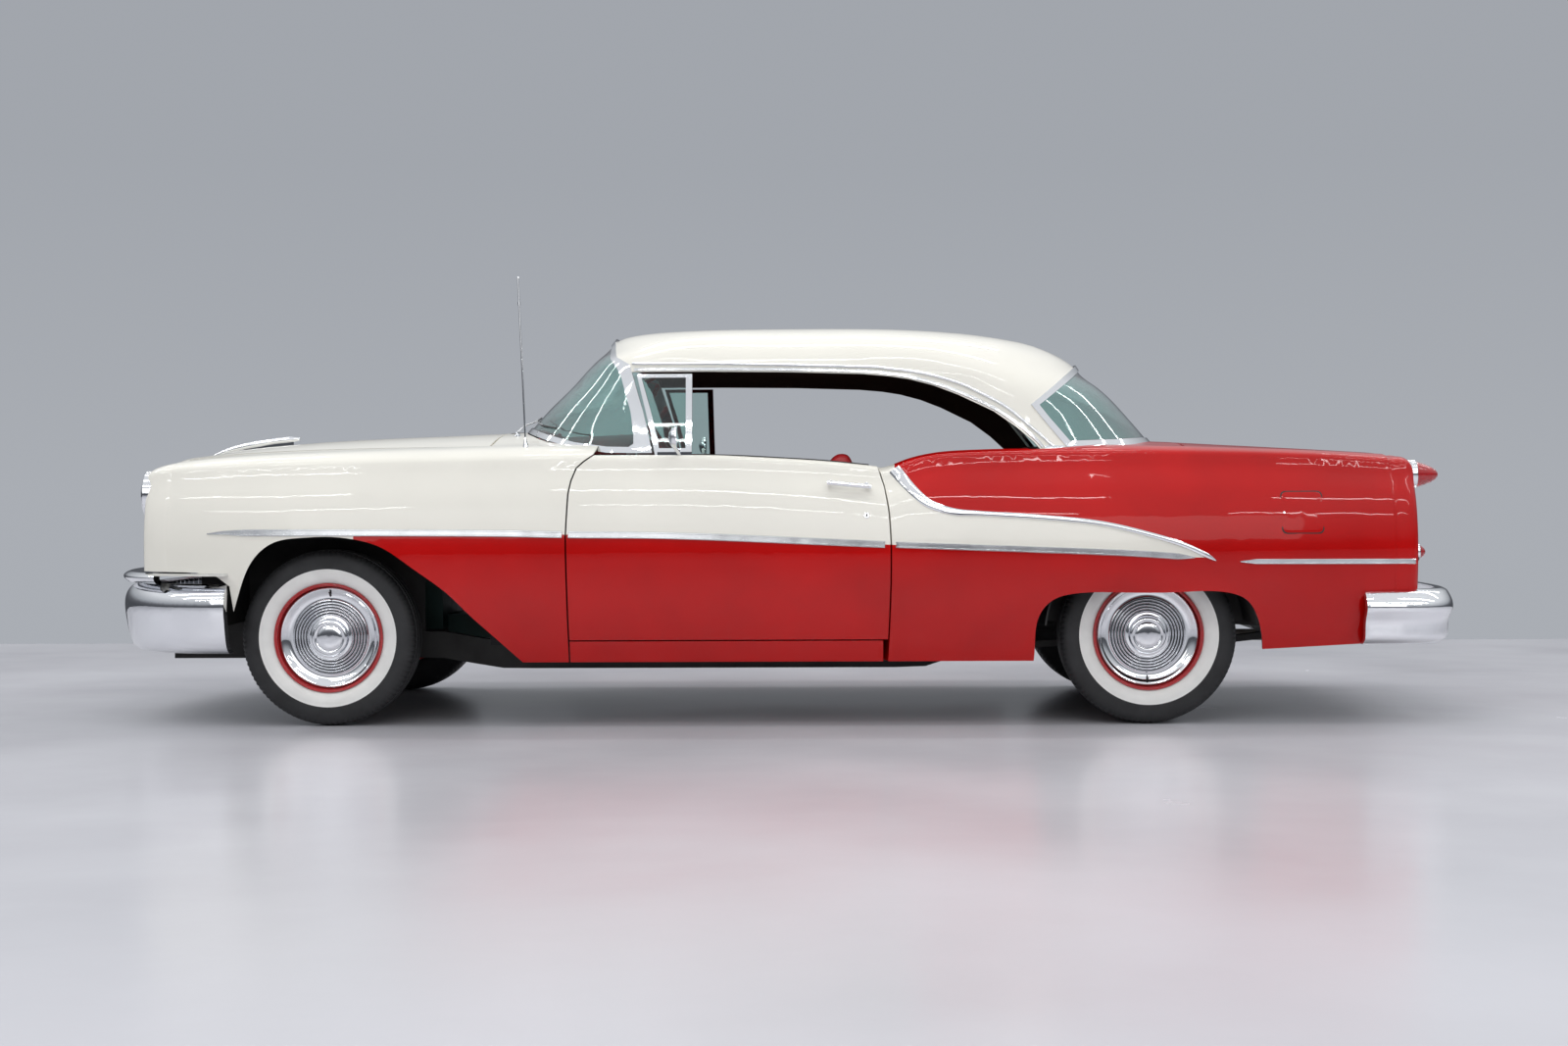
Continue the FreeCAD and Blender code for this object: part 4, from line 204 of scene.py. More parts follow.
def paint(name, rule):
    """Glossy enamel. rule is white, red, dark, or fender, door or quarter for the two-tone split on the sides."""
    made, tree, shader = blank(name, Coat_Weight=COAT, Coat_Roughness=0.025, Specular_IOR_Level=0.05)
    white = tinted(tree, WHITE, 0.025, 2.5)
    red = tinted(tree, RED, 0.12, 2.5)
    if rule == "white":
        colour = white
    elif rule == "red":
        colour = red
    elif rule == "dark":
        colour = tinted(tree, DARK, 0.35, 7.0)
    else:
        parts = add(tree, "SeparateXYZ", {0: surface_place(tree)})
        x_share = share_of(tree, parts.outputs[0], FRONT_AXLE + CURVE_X[0], FRONT_AXLE + CURVE_X[1])
        z_share = share_of(tree, parts.outputs[2], *CURVE_Z)
        line = spear_line + [(3340, 631), (CURVE_X[1] / MM, 631)]
        mask = math_node(tree, "LESS_THAN", z_share, curve_height(tree, x_share, line))
        if rule == "fender":
            mask = math_node(tree, "MULTIPLY", mask, math_node(tree, "GREATER_THAN", parts.outputs[0],
                at(red_start)))
        if rule == "quarter":
            line = [(-500, 962)] + dip_line + [(3360, 600), (CURVE_X[1] / MM, 600)]
            above = math_node(tree, "GREATER_THAN", z_share, curve_height(tree, x_share, line))
            behind = math_node(tree, "GREATER_THAN", parts.outputs[0], at(dip_line[0][0]))
            mask = math_node(tree, "MAXIMUM", mask, math_node(tree, "MULTIPLY", above, behind))
        colour = mixed(tree, mask, white, red)
    rough = (0.55, 0.8) if rule == "dark" else (0.26, 0.36)
    wire(tree, shader, Base_Color=colour, Roughness=ranged(tree, noise(tree, 14.0), *rough),
        Normal=bumped(tree, noise(tree, 160.0, 1.0), 0.02))
    return made


def inner_lined(name, outer_rule, centre, lining, spread, dark_below=-9.0):
    """Painted panel whose faces towards the cabin, and all of it below a height, are lined."""
    made = paint(name, outer_rule)
    tree = made.node_tree
    shader = tree.nodes["Principled BSDF"]
    geometry = add(tree, "NewGeometry")
    away = add(tree, "VectorMath", {0: surface_place(tree), 1: centre}, operation="SUBTRACT")
    facing = add(tree, "VectorMath", {0: geometry.outputs["True Normal"], 1: away.outputs[0]},
        operation="DOT_PRODUCT")
    inside = math_node(tree, "LESS_THAN", facing.outputs["Value"], 0.0)
    if dark_below > 0:
        height = add(tree, "SeparateXYZ", {0: surface_place(tree)}).outputs[2]
        inside = math_node(tree, "MAXIMUM", inside, math_node(tree, "LESS_THAN", height, dark_below))
    low, middle, high = shades(lining, spread)
    cloth = ramp(tree, noise(tree, 900.0, 2.0), [(0.35, low), (0.5, middle), (0.65, high)])
    painted = shader.inputs["Base Color"].links[0].from_socket
    rough = shader.inputs["Roughness"].links[0].from_socket
    wire(tree, shader, Base_Color=mixed(tree, inside, painted, cloth),
        Roughness=math_node(tree, "MAXIMUM", rough, math_node(tree, "MULTIPLY", inside, 0.9)))
    if outer_rule == "dark":
        shader.inputs["Coat Weight"].default_value = 0.0
    else:
        outside = math_node(tree, "SUBTRACT", 1.0, inside)
        wire(tree, shader, Coat_Weight=math_node(tree, "MULTIPLY", outside, COAT))
    return made


def woven(name, colour, second, pitch, **fixed):
    """Plain weave: two crossed thread waves over a drifting colour."""
    made, tree, shader = blank(name, Roughness=0.85, **fixed)
    place = surface_place(tree)
    threads = []
    for direction in ("X", "Y", "Z"):
        wave = add(tree, "TexWave", {"Vector": place, "Scale": 1 / (pitch * 20), "Distortion": 0.6, "Detail": 1.0},
            bands_direction=direction)
        threads.append(wave.outputs["Fac"])
    height = math_node(tree, "MULTIPLY", math_node(tree, "ADD", threads[0], threads[2]), threads[1])
    low = tinted(tree, colour, 0.1, 20.0)
    wire(tree, shader, Base_Color=mixed(tree, ranged(tree, height, 0.0, 0.5), low, (*second, 1)),
        Normal=bumped(tree, height, 0.35))
    return made


def leather(name, colour, spread=0.12):
    """Vinyl or leather hide: cells of grain, soft shine and creases."""
    made, tree, shader = blank(name, Coat_Weight=0.15, Coat_Roughness=0.35, Specular_IOR_Level=0.4)
    place = surface_place(tree)
    cells = add(tree, "TexVoronoi", {"Vector": place, "Scale": 420.0}).outputs["Distance"]
    creases = noise(tree, 35.0, 6.0)
    height = math_node(tree, "ADD", cells, math_node(tree, "MULTIPLY", creases, 1.5))
    wire(tree, shader, Base_Color=tinted(tree, colour, spread, 9.0, 5.0),
        Roughness=ranged(tree, creases, 0.34, 0.52), Normal=bumped(tree, height, 0.2))
    return made


def clear(name, colour, ior=1.5, flutes=0.0, **fixed):
    """Glass or lens plastic with faint dust and, for lenses, upright flutes."""
    made, tree, shader = blank(name, IOR=ior, Transmission_Weight=1.0, **fixed)
    wire(tree, shader, Base_Color=tinted(tree, colour, 0.04, 3.0),
        Roughness=ranged(tree, noise(tree, 6.0), 0.0, 0.05))
    if flutes:
        place = surface_place(tree)
        wave = add(tree, "TexWave", {"Vector": place, "Scale": flutes}, bands_direction="Y", wave_profile="SIN")
        wire(tree, shader, Normal=bumped(tree, wave.outputs["Fac"], 0.5, 0.002))
    return made


CHROME = (0.80, 0.81, 0.83)
mat = {
    "white": paint("enamel_white", "white"),
    "red": paint("enamel_red", "red"),
    "fender": inner_lined("enamel_two_tone_fender", "fender", (-1.6, 0, 0.55), DARK, 0.35),
    "door": paint("enamel_two_tone_door", "door"),
    "quarter": inner_lined("enamel_two_tone_quarter", "quarter", (1.3, 0, 0.6), (0.07, 0.07, 0.072), 0.5),
    "roof": inner_lined("roof_with_headliner", "white", (0.3, 0, 1.1), (0.05, 0.032, 0.026), 0.4),
    "cowl": inner_lined("cowl_with_lining", "white", (0.0, 0, 0.8), (0.03, 0.03, 0.031), 0.4, 0.99),
    "floor": inner_lined("floor_with_carpet", "dark", (0.2, 0, 0.95), (0.20, 0.015, 0.017), 0.5),
    "chrome": finish("chrome_plate", CHROME, 0.03, 4.0, (0.035, 0.085), 30.0, 0.015, Metallic=1.0),
    "brushed": finish("brushed_bright_metal", (0.72, 0.73, 0.74), 0.05, 6.0, (0.16, 0.26), 60.0, 0.05, (1, 12, 12),
                      Metallic=1.0),
    "satin": finish("aluminium_satin", (0.62, 0.63, 0.64), 0.06, 8.0, (0.28, 0.4), 300.0, 0.1, Metallic=1.0),
    "under": finish("underbody_black", DARK, 0.35, 7.0, (0.55, 0.8), 160.0, 0.5),
    "iron": finish("engine_dark_green", (0.012, 0.045, 0.038), 0.25, 9.0, (0.35, 0.6), 220.0, 0.3),
    "steel": finish("exhaust_steel", (0.32, 0.29, 0.26), 0.35, 12.0, (0.35, 0.6), 120.0, 0.3, Metallic=0.9),
    "tank": finish("tank_steel", (0.35, 0.36, 0.36), 0.2, 10.0, (0.35, 0.55), 80.0, 0.2, Metallic=0.8),
    "rubber": finish("tyre_rubber", (0.018, 0.018, 0.019), 0.25, 14.0, (0.5, 0.72), 500.0, 0.25),
    "seal": finish("rubber_seal", (0.012, 0.012, 0.012), 0.2, 20.0, (0.45, 0.65), 300.0, 0.2),
    "whitewall": finish("whitewall_rubber", (0.80, 0.79, 0.76), 0.05, 12.0, (0.4, 0.55), 400.0, 0.12),
    "rim_red": finish("wheel_red_enamel", (0.42, 0.01, 0.012), 0.1, 12.0, (0.25, 0.35), 300.0, 0.05, Coat_Weight=0.8),
    "hide_red": leather("seat_red_hide", (0.40, 0.012, 0.016)),
    "hide_white": leather("seat_ivory_hide", (0.70, 0.67, 0.60), 0.06),
    "cloth_grey": woven("seat_grey_cloth", (0.16, 0.16, 0.17), (0.42, 0.42, 0.43), 0.0016),
    "carpet": woven("carpet_red", (0.10, 0.008, 0.009), (0.28, 0.025, 0.028), 0.003, Sheen_Weight=0.4),
    "liner": woven("headliner_brown", (0.045, 0.03, 0.025), (0.11, 0.085, 0.075), 0.0016),
    "plastic": finish("wheel_rim_plastic", (0.28, 0.014, 0.016), 0.1, 12.0, (0.2, 0.32), 200.0, 0.05, Coat_Weight=0.6),
    "dash": finish("dash_enamel", (0.36, 0.012, 0.014), 0.08, 6.0, (0.3, 0.4), 600.0, 0.12, Coat_Weight=0.4),
    "black": finish("satin_black", (0.015, 0.015, 0.016), 0.2, 15.0, (0.35, 0.5), 300.0, 0.1),
    "plate": finish("blank_plate", (0.72, 0.71, 0.66), 0.04, 8.0, (0.35, 0.5), 200.0, 0.08),
    "dial": finish("dial_face", (0.60, 0.60, 0.56), 0.05, 15.0, (0.3, 0.4), 300.0, 0.05),
    "copper": finish("radiator_core", (0.05, 0.045, 0.04), 0.3, 30.0, (0.4, 0.6), 500.0, 0.6, (1, 1, 0.1), Metallic=0.5),
    "glass": clear("window_glass", (0.66, 0.84, 0.80)),
    "mirror": finish("mirror_glass", (0.9, 0.9, 0.9), 0.01, 3.0, (0.01, 0.03), 10.0, 0.0, Metallic=1.0),
    "lens": clear("headlamp_glass", (0.95, 0.96, 0.97), 1.45, 30.0),
    "amber": finish("bulb_metal", (0.75, 0.68, 0.5), 0.1, 30.0, (0.1, 0.2), 90.0, 0.1, Metallic=0.9),
    "red_lens": finish("tail_lamp_red", (0.50, 0.008, 0.012), 0.08, 20.0, (0.08, 0.18), 60.0, 0.05, Coat_Weight=0.8,
                       Transmission_Weight=0.3),
}


# Mesh tools
def shape(name, points, faces, material, angle=35, indices=None, materials=(), body="body"):
    """Mesh object that rides on a body, shaded smooth up to an angle."""
    mesh = bpy.data.meshes.new(name)
    mesh.from_pydata([tuple(p) for p in points], [], faces)
    for each in [material] + list(materials):
        mesh.materials.append(mat[each])
    if indices is not None:
        mesh.polygons.foreach_set("material_index", indices)
    work = bmesh.new()
    work.from_mesh(mesh)
    bmesh.ops.recalc_face_normals(work, faces=work.faces)
    work.to_mesh(mesh)
    work.free()
    mesh.polygons.foreach_set("use_smooth", [True] * len(mesh.polygons))
    mesh.set_sharp_from_angle(angle=math.radians(angle))
    made = bpy.data.objects.new(name, mesh)
    bpy.context.scene.collection.objects.link(made)
    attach(made, body)
    return made


def rings(name, loops, material, closed=False, caps=True, **more):
    """Skin over loops of points, each loop closed on itself; closed joins the last to the first."""
    count = len(loops[0])
    points = [p for loop in loops for p in loop]
    faces = []
    span = len(loops) if closed else len(loops) - 1
    for i in range(span):
        j = (i + 1) % len(loops)
        for k in range(count):
            n = (k + 1) % count
            faces.append((i * count + k, i * count + n, j * count + n, j * count + k))
    if caps and not closed:
        faces.append(tuple(range(count)))
        faces.append(tuple(range(len(points) - count, len(points))))
    return shape(name, points, faces, material, **more)


def lathe(name, profile, centre, axis, material, steps=96, wave=None, bands=None, **more):
    """Solid of revolution from (distance along the axis, radius) points in mm. The profile closes on itself.
    wave(a, r, step) returns how far a point is drawn in; bands gives each profile run its material index."""
    axis = Vector(axis).normalized()
    side = axis.orthogonal().normalized()
    up = axis.cross(side)
    centre = Vector(centre)
    loops = []
    for k in range(steps):
        turn = 2 * math.pi * k / steps
        way = side * math.cos(turn) + up * math.sin(turn)
        loop = []
        for a, r in profile:
            inward = wave(a, r, k) if wave else 0
            loop.append(centre + axis * a * MM + way * (r - inward) * MM)
        loops.append(loop)
    indices = [band for _ in range(steps) for band in bands] if bands else None
    return rings(name, loops, material, closed=True, indices=indices, **more)


def curve_points(points, step):
    """Even points along a smooth curve through the given ones."""
    points = [Vector(p) for p in points]
    ends = [points[0] * 2 - points[1]] + points + [points[-1] * 2 - points[-2]]
    fine = []
    for a, b, c, d in zip(ends, ends[1:], ends[2:], ends[3:]):
        for i in range(16):
            t = i / 16
            fine.append(0.5 * (2 * b + (c - a) * t + (2 * a - 5 * b + 4 * c - d) * t * t
                + (3 * b - a - 3 * c + d) * t ** 3))
    fine.append(points[-1])
    lengths = [0.0]
    for a, b in zip(fine, fine[1:]):
        lengths.append(lengths[-1] + (b - a).length)
    count = max(2, round(lengths[-1] / step) + 1)
    made = []
    place = 0
    for i in range(count):
        goal = lengths[-1] * i / (count - 1)
        while place < len(fine) - 2 and lengths[place + 1] < goal:
            place += 1
        run = lengths[place + 1] - lengths[place]
        made.append(fine[place].lerp(fine[place + 1], (goal - lengths[place]) / run if run else 0))
    return made


def tube(name, points, radius, material, step=0.01, sides=10, closed=False, flat=1.0, up=None, body="body"):
    """Rod along a smooth curve. radius in mm, one or one per end. flat squeezes it across up."""
    if closed:
        path = curve_points(points + [points[0]], step)[:-1]
    else:
        path = curve_points(points, step)
    both = radius if isinstance(radius, (tuple, list)) else (radius, radius)
    loops = []
    frame_up = None
    for i, p in enumerate(path):
        before = path[i - 1] if i or closed else p
        after = path[(i + 1) % len(path)] if i < len(path) - 1 or closed else p
        ahead = (after - before).normalized()
        if up is not None:
            frame_up = Vector(up)
        elif frame_up is None:
            frame_up = ahead.orthogonal()
        frame_up = (frame_up - ahead * frame_up.dot(ahead)).normalized()
        across = ahead.cross(frame_up)
        share = i / (len(path) - 1)
        r = (both[0] + (both[1] - both[0]) * share) * MM
        loops.append([p + (across * math.cos(t) + frame_up * flat * math.sin(t)) * r
            for t in [2 * math.pi * k / sides for k in range(sides)]])
    return rings(name, loops, material, closed=closed, angle=50, body=body)


def slab(name, outline, lift, material, edge=2.0, thick=6.0, **more):
    """Plate from a flat outline of (a, b) points in metres, with an eased edge. lift(a, b, h) places a point."""
    count = len(outline)
    centre = sum((Vector((a, b)) for a, b in outline), Vector((0, 0))) / count
    loops = []
    for grow, height in ((0, 0), (0, thick - edge), (-edge * 0.4, thick - edge * 0.35), (-edge, thick)):
        loop = []
        for a, b in outline:
            away = Vector((a, b)) - centre
            size = away.length
            away = away * ((size + grow * MM) / size) if size else away
            loop.append(lift(centre.x + away.x, centre.y + away.y, height * MM))
        loops.append(loop)
    return rings(name, loops, material, **more)


def rounded(a0, a1, b0, b1, corner, steps=5):
    """Rectangle outline with round corners."""
    points = []
    for ca, cb, start in ((a1 - corner, b1 - corner, 0), (a0 + corner, b1 - corner, 90),
            (a0 + corner, b0 + corner, 180), (a1 - corner, b0 + corner, 270)):
        for i in range(steps + 1):
            turn = math.radians(start + 90 * i / steps)
            points.append((ca + corner * math.cos(turn), cb + corner * math.sin(turn)))
    return points


def tree_of(*names):
    """Search tree over the surfaces of some CAD nodes."""
    points = []
    faces = []
    for name in names:
        mesh = nodes[name].data
        start = len(points)
        points += [v.co.copy() for v in mesh.vertices]
        faces += [tuple(start + i for i in p.vertices) for p in mesh.polygons]
    return BVHTree.FromPolygons(points, faces)


def hit(tree, origin, direction):
    """First place and outward normal that a ray meets, or None."""
    direction = Vector(direction).normalized()
    place, normal, _, _ = tree.ray_cast(Vector(origin), direction)
    if place is None:
        return None
    return place, (-normal if normal.dot(direction) > 0 else normal)


def side_hit(tree, x, z, side):
    return hit(tree, (x, side * BESIDE, z), (0, -side, 0))


def evened(values, rounds=2):
    for _ in range(rounds):
        values = [values[0]] + [(a + b * 2 + c) / 4 for a, b, c in zip(values, values[1:],
            values[2:])] + [values[-1]]
    return values


STRIP_STEP = 0.012
bead = [(-1, -1.5), (-1, 0.35), (-0.82, 0.8), (-0.45, 1), (0, 1.08), (0.45, 1), (0.82, 0.8), (1, 0.35), (1, -1.5)]
ribbed = [(-1, -1.5), (-1, 0.5), (-0.8, 1), (-0.55, 1), (-0.45, 0.55), (0.45, 0.55), (0.55, 1), (0.8, 1), (1, 0.5),
    (1, -1.5)]


def strip(name, tree, line, half, proud, side, material, profile=bead, tips=(0, 0), body="body"):
    """Moulding that lies on a panel along a line of (x, z) places in mm. half and proud in mm;
    tips are the lengths over which its ends narrow to a point."""
    path = curve_points([(at(x), 0, z * MM) for x, z in line], STRIP_STEP)
    found = [side_hit(tree, p.x, p.z, side) for p in path]
    found = [f for f in found if f]
    centres = evened([f[0] for f in found])
    normals = evened([f[1] for f in found])
    lengths = [0.0]
    for a, b in zip(centres, centres[1:]):
        lengths.append(lengths[-1] + (b - a).length / MM)
    loops = []
    for i, (c, n) in enumerate(zip(centres, normals)):
        ahead = (centres[min(i + 1, len(centres) - 1)] - centres[max(i - 1, 0)]).normalized()
        n = n.normalized()
        across = n.cross(ahead).normalized()
        size = 1.0
        if tips[0]:
            size = min(size, max(0.05, lengths[i] / tips[0]) ** 0.6)
        if tips[1]:
            size = min(size, max(0.05, (lengths[-1] - lengths[i]) / tips[1]) ** 0.6)
        width = half(lengths[i] / lengths[-1]) if callable(half) else half
        loops.append([c + across * (s * width * size * MM)
            + n * ((h * proud * (0.5 + 0.5 * size) if h > 0 else h) * MM) for s, h in profile])
    return rings(name, loops, material, body=body)


# The CAD nodes that stay get their finish
kept = {
    "hood": "white", "cowl": "cowl", "front_valance": "white", "roof": "roof", "rear_deck": "red",
    "trunk_lid": "red", "tail_panel": "red", "sills": "red", "dashboard": "dash", "package_shelf": "liner",
    "windshield": "glass", "rear_window": "glass", "window_mouldings": "chrome", "lamp_rims": "chrome",
    "tail_lamp_lenses": "red_lens", "bumper_front": "chrome", "bumper_rear": "chrome",
    "grille": "chrome", "hood_ornament": "chrome", "antenna": "chrome", "engine": "iron", "exhaust": "steel",
    "fuel_tank": "tank", "frame": "under", "front_suspension": "under", "rear_axle": "under", "floor": "floor",
    "wheel_houses": "under", "steering_wheel": "plastic",
}
for way in SIDES:
    kept.update({"fender_" + way: "fender", "door_" + way: "door", "quarter_" + way: "quarter",
        "vent_frame_" + way: "chrome", "vent_glass_" + way: "glass", "door_fittings_" + way: "chrome",
        "knuckle_" + way: "under"})
for name, material in kept.items():
    for place in nodes[name].material_slots:
        place.material = mat[material]


# Side trims
drip = [(1125, 1371), (1434, 1370), (2029, 1355), (2119, 1348), (2255, 1329), (2391, 1292), (2479, 1250),
    (2569, 1200), (2657, 1126), (2745, 1046)]
reveal = [(1156, 1350), (1429, 1350), (1750, 1346), (2029, 1337), (2130, 1328), (2210, 1315), (2300, 1291),
    (2395, 1257), (2530, 1192), (2622, 1127), (2684, 1071), (2706, 1044)]


def between(line, start, end):
    """Part of a side line between two x places, its ends worked out on the line."""
    inner = [p for p in line if start < p[0] < end]
    ends = []
    for x in (start, end):
        for (x0, z0), (x1, z1) in zip(line, line[1:]):
            if x0 <= x <= x1:
                ends.append((x, z0 + (z1 - z0) * (x - x0) / (x1 - x0)))
                break
    return [ends[0]] + inner + [ends[-1]]


roof = tree_of("roof")
for way, side in SIDES.items():
    panels = {name: tree_of(name + "_" + way) for name in ("fender", "door", "quarter")}

    front = between(spear_line, spear_line[0][0], door_front_edge - door_gap - 4)
    middle = between(spear_line, door_front_edge + 2, door_rear_edge - 2)
    back = between(spear_line, door_rear_edge + door_gap + 12, spear_line[-1][0])
    strip("spear_front_" + way, panels["fender"], front, 13, 6, side, "brushed", ribbed, tips=(150, 0))
    strip("spear_door_" + way, panels["door"], middle, 13, 6, side, "brushed", ribbed, body="door_" + way)
    strip("spear_rear_" + way, panels["quarter"], back, 12, 6, side, "brushed", ribbed, tips=(0, 60))
    strip("dip_moulding_" + way, panels["quarter"], dip_line, lambda s: 23 - 13 * min(1, s * 3.2), 7, side,
        "chrome", tips=(0, 40))
    strip("rear_strip_" + way, panels["quarter"], rear_strip_line, 10, 5, side, "brushed", ribbed, tips=(60, 0))

    strip("drip_rail_" + way, roof, drip, 6, 9, side, "chrome")
    strip("window_reveal_" + way, roof, reveal, 7, 4, side, "brushed", ribbed)
    strip("pillar_foot_" + way, roof, [(2712, 1043), (2800, 1043)], 8, 5, side, "chrome")


# Wheels and tyres: profiles as (distance outward, radius)
TREAD_STEPS = 300
half_tyre = [(0, 334.6), (20, 334.3), (21, 327.8), (27, 327.5), (28, 334), (52, 332.6), (53, 325.5), (59, 325),
    (60, 331.3), (66, 330.6), (76, 328.4), (83, 323), (89, 316), (94, 305), (97.5, 288), (99.5, 270), (99.9, 261.5),
    (99.2, 260), (99.2, 250), (97.5, 236), (91, 222), (81, 210), (79, 207.8), (74, 196)]
full_tyre = [(-a, r) for a, r in reversed(half_tyre[1:])] + half_tyre
whitewall = (208, 261)


def tread_wave(a, r, step):
    """Fine ribs across the shoulders of the tread."""
    if abs(a) >= 60 and r > 306 and step % 3 == 0:
        return 3.6
    return 0.9 if abs(a) < 20 and step % 6 == 0 else 0


rim_profile = [(81.4, 196), (81.6, 206), (83.5, 208), (86, 207), (86.3, 203), (82, 199.5), (72, 197), (58, 194.5),
    (46, 192), (44, 186), (10, 184), (-60, 184), (-79, 188), (-83, 199), (-86.3, 203), (-86, 207), (-83.5, 208),
    (-81.6, 206), (-81.4, 196)]
disc_profile = [(18, 58), (24, 58), (30, 90), (36, 150), (26, 184.5), (18, 184.5), (29, 148), (23, 90)]
drum_profile = [(16, 19.6), (16, 140), (12, 150), (4, 151.6), (2, 148.5), (0, 151.6), (-6, 151.6), (-8, 148.5),
    (-10, 151.6), (-16, 151.6), (-18, 148.5), (-20, 151.6), (-36, 151.6), (-39.8, 148), (-39.8, 19.6)]


def cover_profile():
    """Bright wheel cover: blank medallion, raised collar, six ribs, polished dish and rolled edge."""
    points = [(74.6, 0.5), (74.3, 18), (73, 34), (70.8, 45), (68.4, 48), (68.4, 50.5), (70.6, 53), (71.6, 57),
        (71, 62), (68, 66.5), (60, 69), (53, 72), (51, 77)]
    for i in range(6):
        r = 82 + 11 * i
        foot = 52 - (r - 80) * 0.15
        points += [(foot - 1.5, r), (foot + 4.5, r + 1.8), (foot + 6.5, r + 4), (foot + 4.5, r + 6.2),
            (foot - 2, r + 8.4)]
    points += [(41, 150), (42, 158), (47, 168), (54, 177), (58.5, 182.5), (60, 186.5), (59, 190), (55, 191.6),
        (50, 191), (40, 184), (31, 150), (31, 70), (58, 40), (70, 0.5)]
    return points


for end, x in (("front", FRONT_AXLE), ("rear", REAR_AXLE)):
    for way, side in SIDES.items():
        name = end + "_" + way
        body = "wheel_" + name
        low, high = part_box("tyre_" + name)
        centre = (x, (low.y + high.y) / 2, AXLE_Z)
        axis = (0, side, 0)
        bands = []
        for (a0, r0), (a1, r1) in zip(full_tyre, full_tyre[1:] + full_tyre[:1]):
            middle = (r0 + r1) / 2
            bands.append(1 if min(a0, a1) > 60 and whitewall[0] < middle < whitewall[1] else 0)
        tyre = lathe("tyre_treaded_" + name, full_tyre, centre, axis, "rubber", TREAD_STEPS, tread_wave, bands,
            materials=["whitewall"], body=body)
        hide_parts("tyre_" + name)
        rim = lathe("rim_" + name, rim_profile, centre, axis, "rim_red", 120, body=body)
        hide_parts("wheel_" + name)
        # The disc behind the cover is drawn black, where the spare's same disc is red: painted shade inside the wheel.
        lathe("disc_" + name, disc_profile, centre, axis, "black", 96, body=body)
        lathe("drum_" + name, drum_profile, centre, axis, "under", 96, body=body)
        cover = cover_profile()
        # The narrow flats between the ribs get the black material: painted shade in the grooves.
        groove_shade = [1 if abs(after[1] - before[1] - 2.6) < 0.05 else 0
            for before, after in zip(cover, cover[1:] + cover[:1])]
        lathe("cover_" + name, cover, centre, axis, "chrome", 120, bands=groove_shade, materials=("black",), body=body)
        up_down = 1 if end == "front" else -1
        stem = [(x, centre[1] + side * out, AXLE_Z + up_down * r)
            for out, r in ((0.040, 0.158), (0.050, 0.163), (0.064, 0.172))]
        tube("valve_" + name, stem, (4.2, 3.4), "black", 0.004, body=body)


# Head and parking lamps: a fluted glass dome over a bright bowl with its bulb, inside the CAD rim
LENS_WALL = 3.5


def front_lamp(tag, place, radius, dome, depth):
    """Lamp that looks along -X. radius, dome height and depth in mm."""
    glass = [(dome * (1 - share ** 2.2), radius * share) for share in (1, 0.92, 0.78, 0.6, 0.4, 0.2)]
    inner = [(a - LENS_WALL, max(0.4, r * 0.97)) for a, r in reversed(glass)]
    shell = lathe("lamp_glass_" + tag, [(-6, radius)] + glass + [(dome, 0.4),
        (dome - LENS_WALL, 0.4)] + inner + [(-6, radius * 0.97)], place, (-1, 0, 0), "lens", 64)
    bowl = [(-6 - depth * (1 - share ** 2), (radius - 0.4) * share) for share in (1, 0.85, 0.65, 0.45, 0.25, 0.1)]
    back = [(a - 2.5, r * 0.98 + 0.4) for a, r in reversed(bowl)]
    lathe("lamp_bowl_" + tag, bowl + [(-6 - depth, 0.4), (-8.5 - depth, 0.4)] + back, place, (-1, 0, 0), "mirror",
        64)
    bulb = radius * 0.16
    lathe("lamp_bulb_" + tag, [(-4 - depth, bulb * 0.8), (-2 - depth * 0.6, bulb), (-depth * 0.42, bulb * 1.1),
        (-depth * 0.3, bulb * 0.7), (-depth * 0.26, 0.3), (-4 - depth, 0.3)], place, (-1, 0, 0), "amber", 32)
    return shell


for way, side in SIDES.items():
    head = front_lamp("head_" + way, (at(-708), side * 0.706, 0.880), 80.3, 30, 30)
    front_lamp("park_" + way, (at(-704), side * 0.712, 0.672), 28.4, 5, 16)
    if way == "left":
        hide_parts("headlamp_lenses")


# Small outside fittings
def button(name, place, normal, radius, height, material, steps=32, body="body"):
    """Round stud with a domed, slightly dished top."""
    profile = [(-2, radius), (height * 0.6, radius), (height * 0.9, radius * 0.93), (height, radius * 0.8),
        (height * 0.94, radius * 0.6), (height * 0.97, radius * 0.3), (height, 0.4), (-2, 0.4)]
    return lathe(name, profile, place, normal, material, steps, body=body)


def patch(name, tree, outline, proud, side, material, rounds=6):
    """Plate that follows a side panel inside an outline of (x, z) points in metres, proud in mm."""
    cx = sum(x for x, _ in outline) / len(outline)
    cz = sum(z for _, z in outline) / len(outline)
    loops = []
    for share, lift in [(1, -1.0), (1, proud * 0.6), (0.985, proud)] + [(1 - i / rounds, proud)
            for i in range(1, rounds)] + [(0.02, proud)]:
        loop = []
        for x, z in outline:
            place, normal = side_hit(tree, cx + (x - cx) * share, cz + (z - cz) * share, side)
            loop.append(place + normal * lift * MM)
        loops.append(loop)
    return rings(name, loops, material)


fuel_door = rounded(at(3578), at(3729), 0.720, 0.871, 0.02)
quarter = tree_of("quarter_left")
# A ring of the black rubber-seal material shows round the fuel door: painted shade in its gap.
patch("fuel_door_gap_shade", quarter, [(x + math.copysign(0.004, x - at(3653)), z + math.copysign(0.004, z - 0.7955))
    for x, z in fuel_door], 0.5, -1, "seal")
patch("fuel_door", quarter, fuel_door, 1.2, -1, "red")
place, normal = side_hit(quarter, at(3585), 0.795, -1)
button("fuel_door_pull", place, normal, 5, 2.5, "chrome", 20)

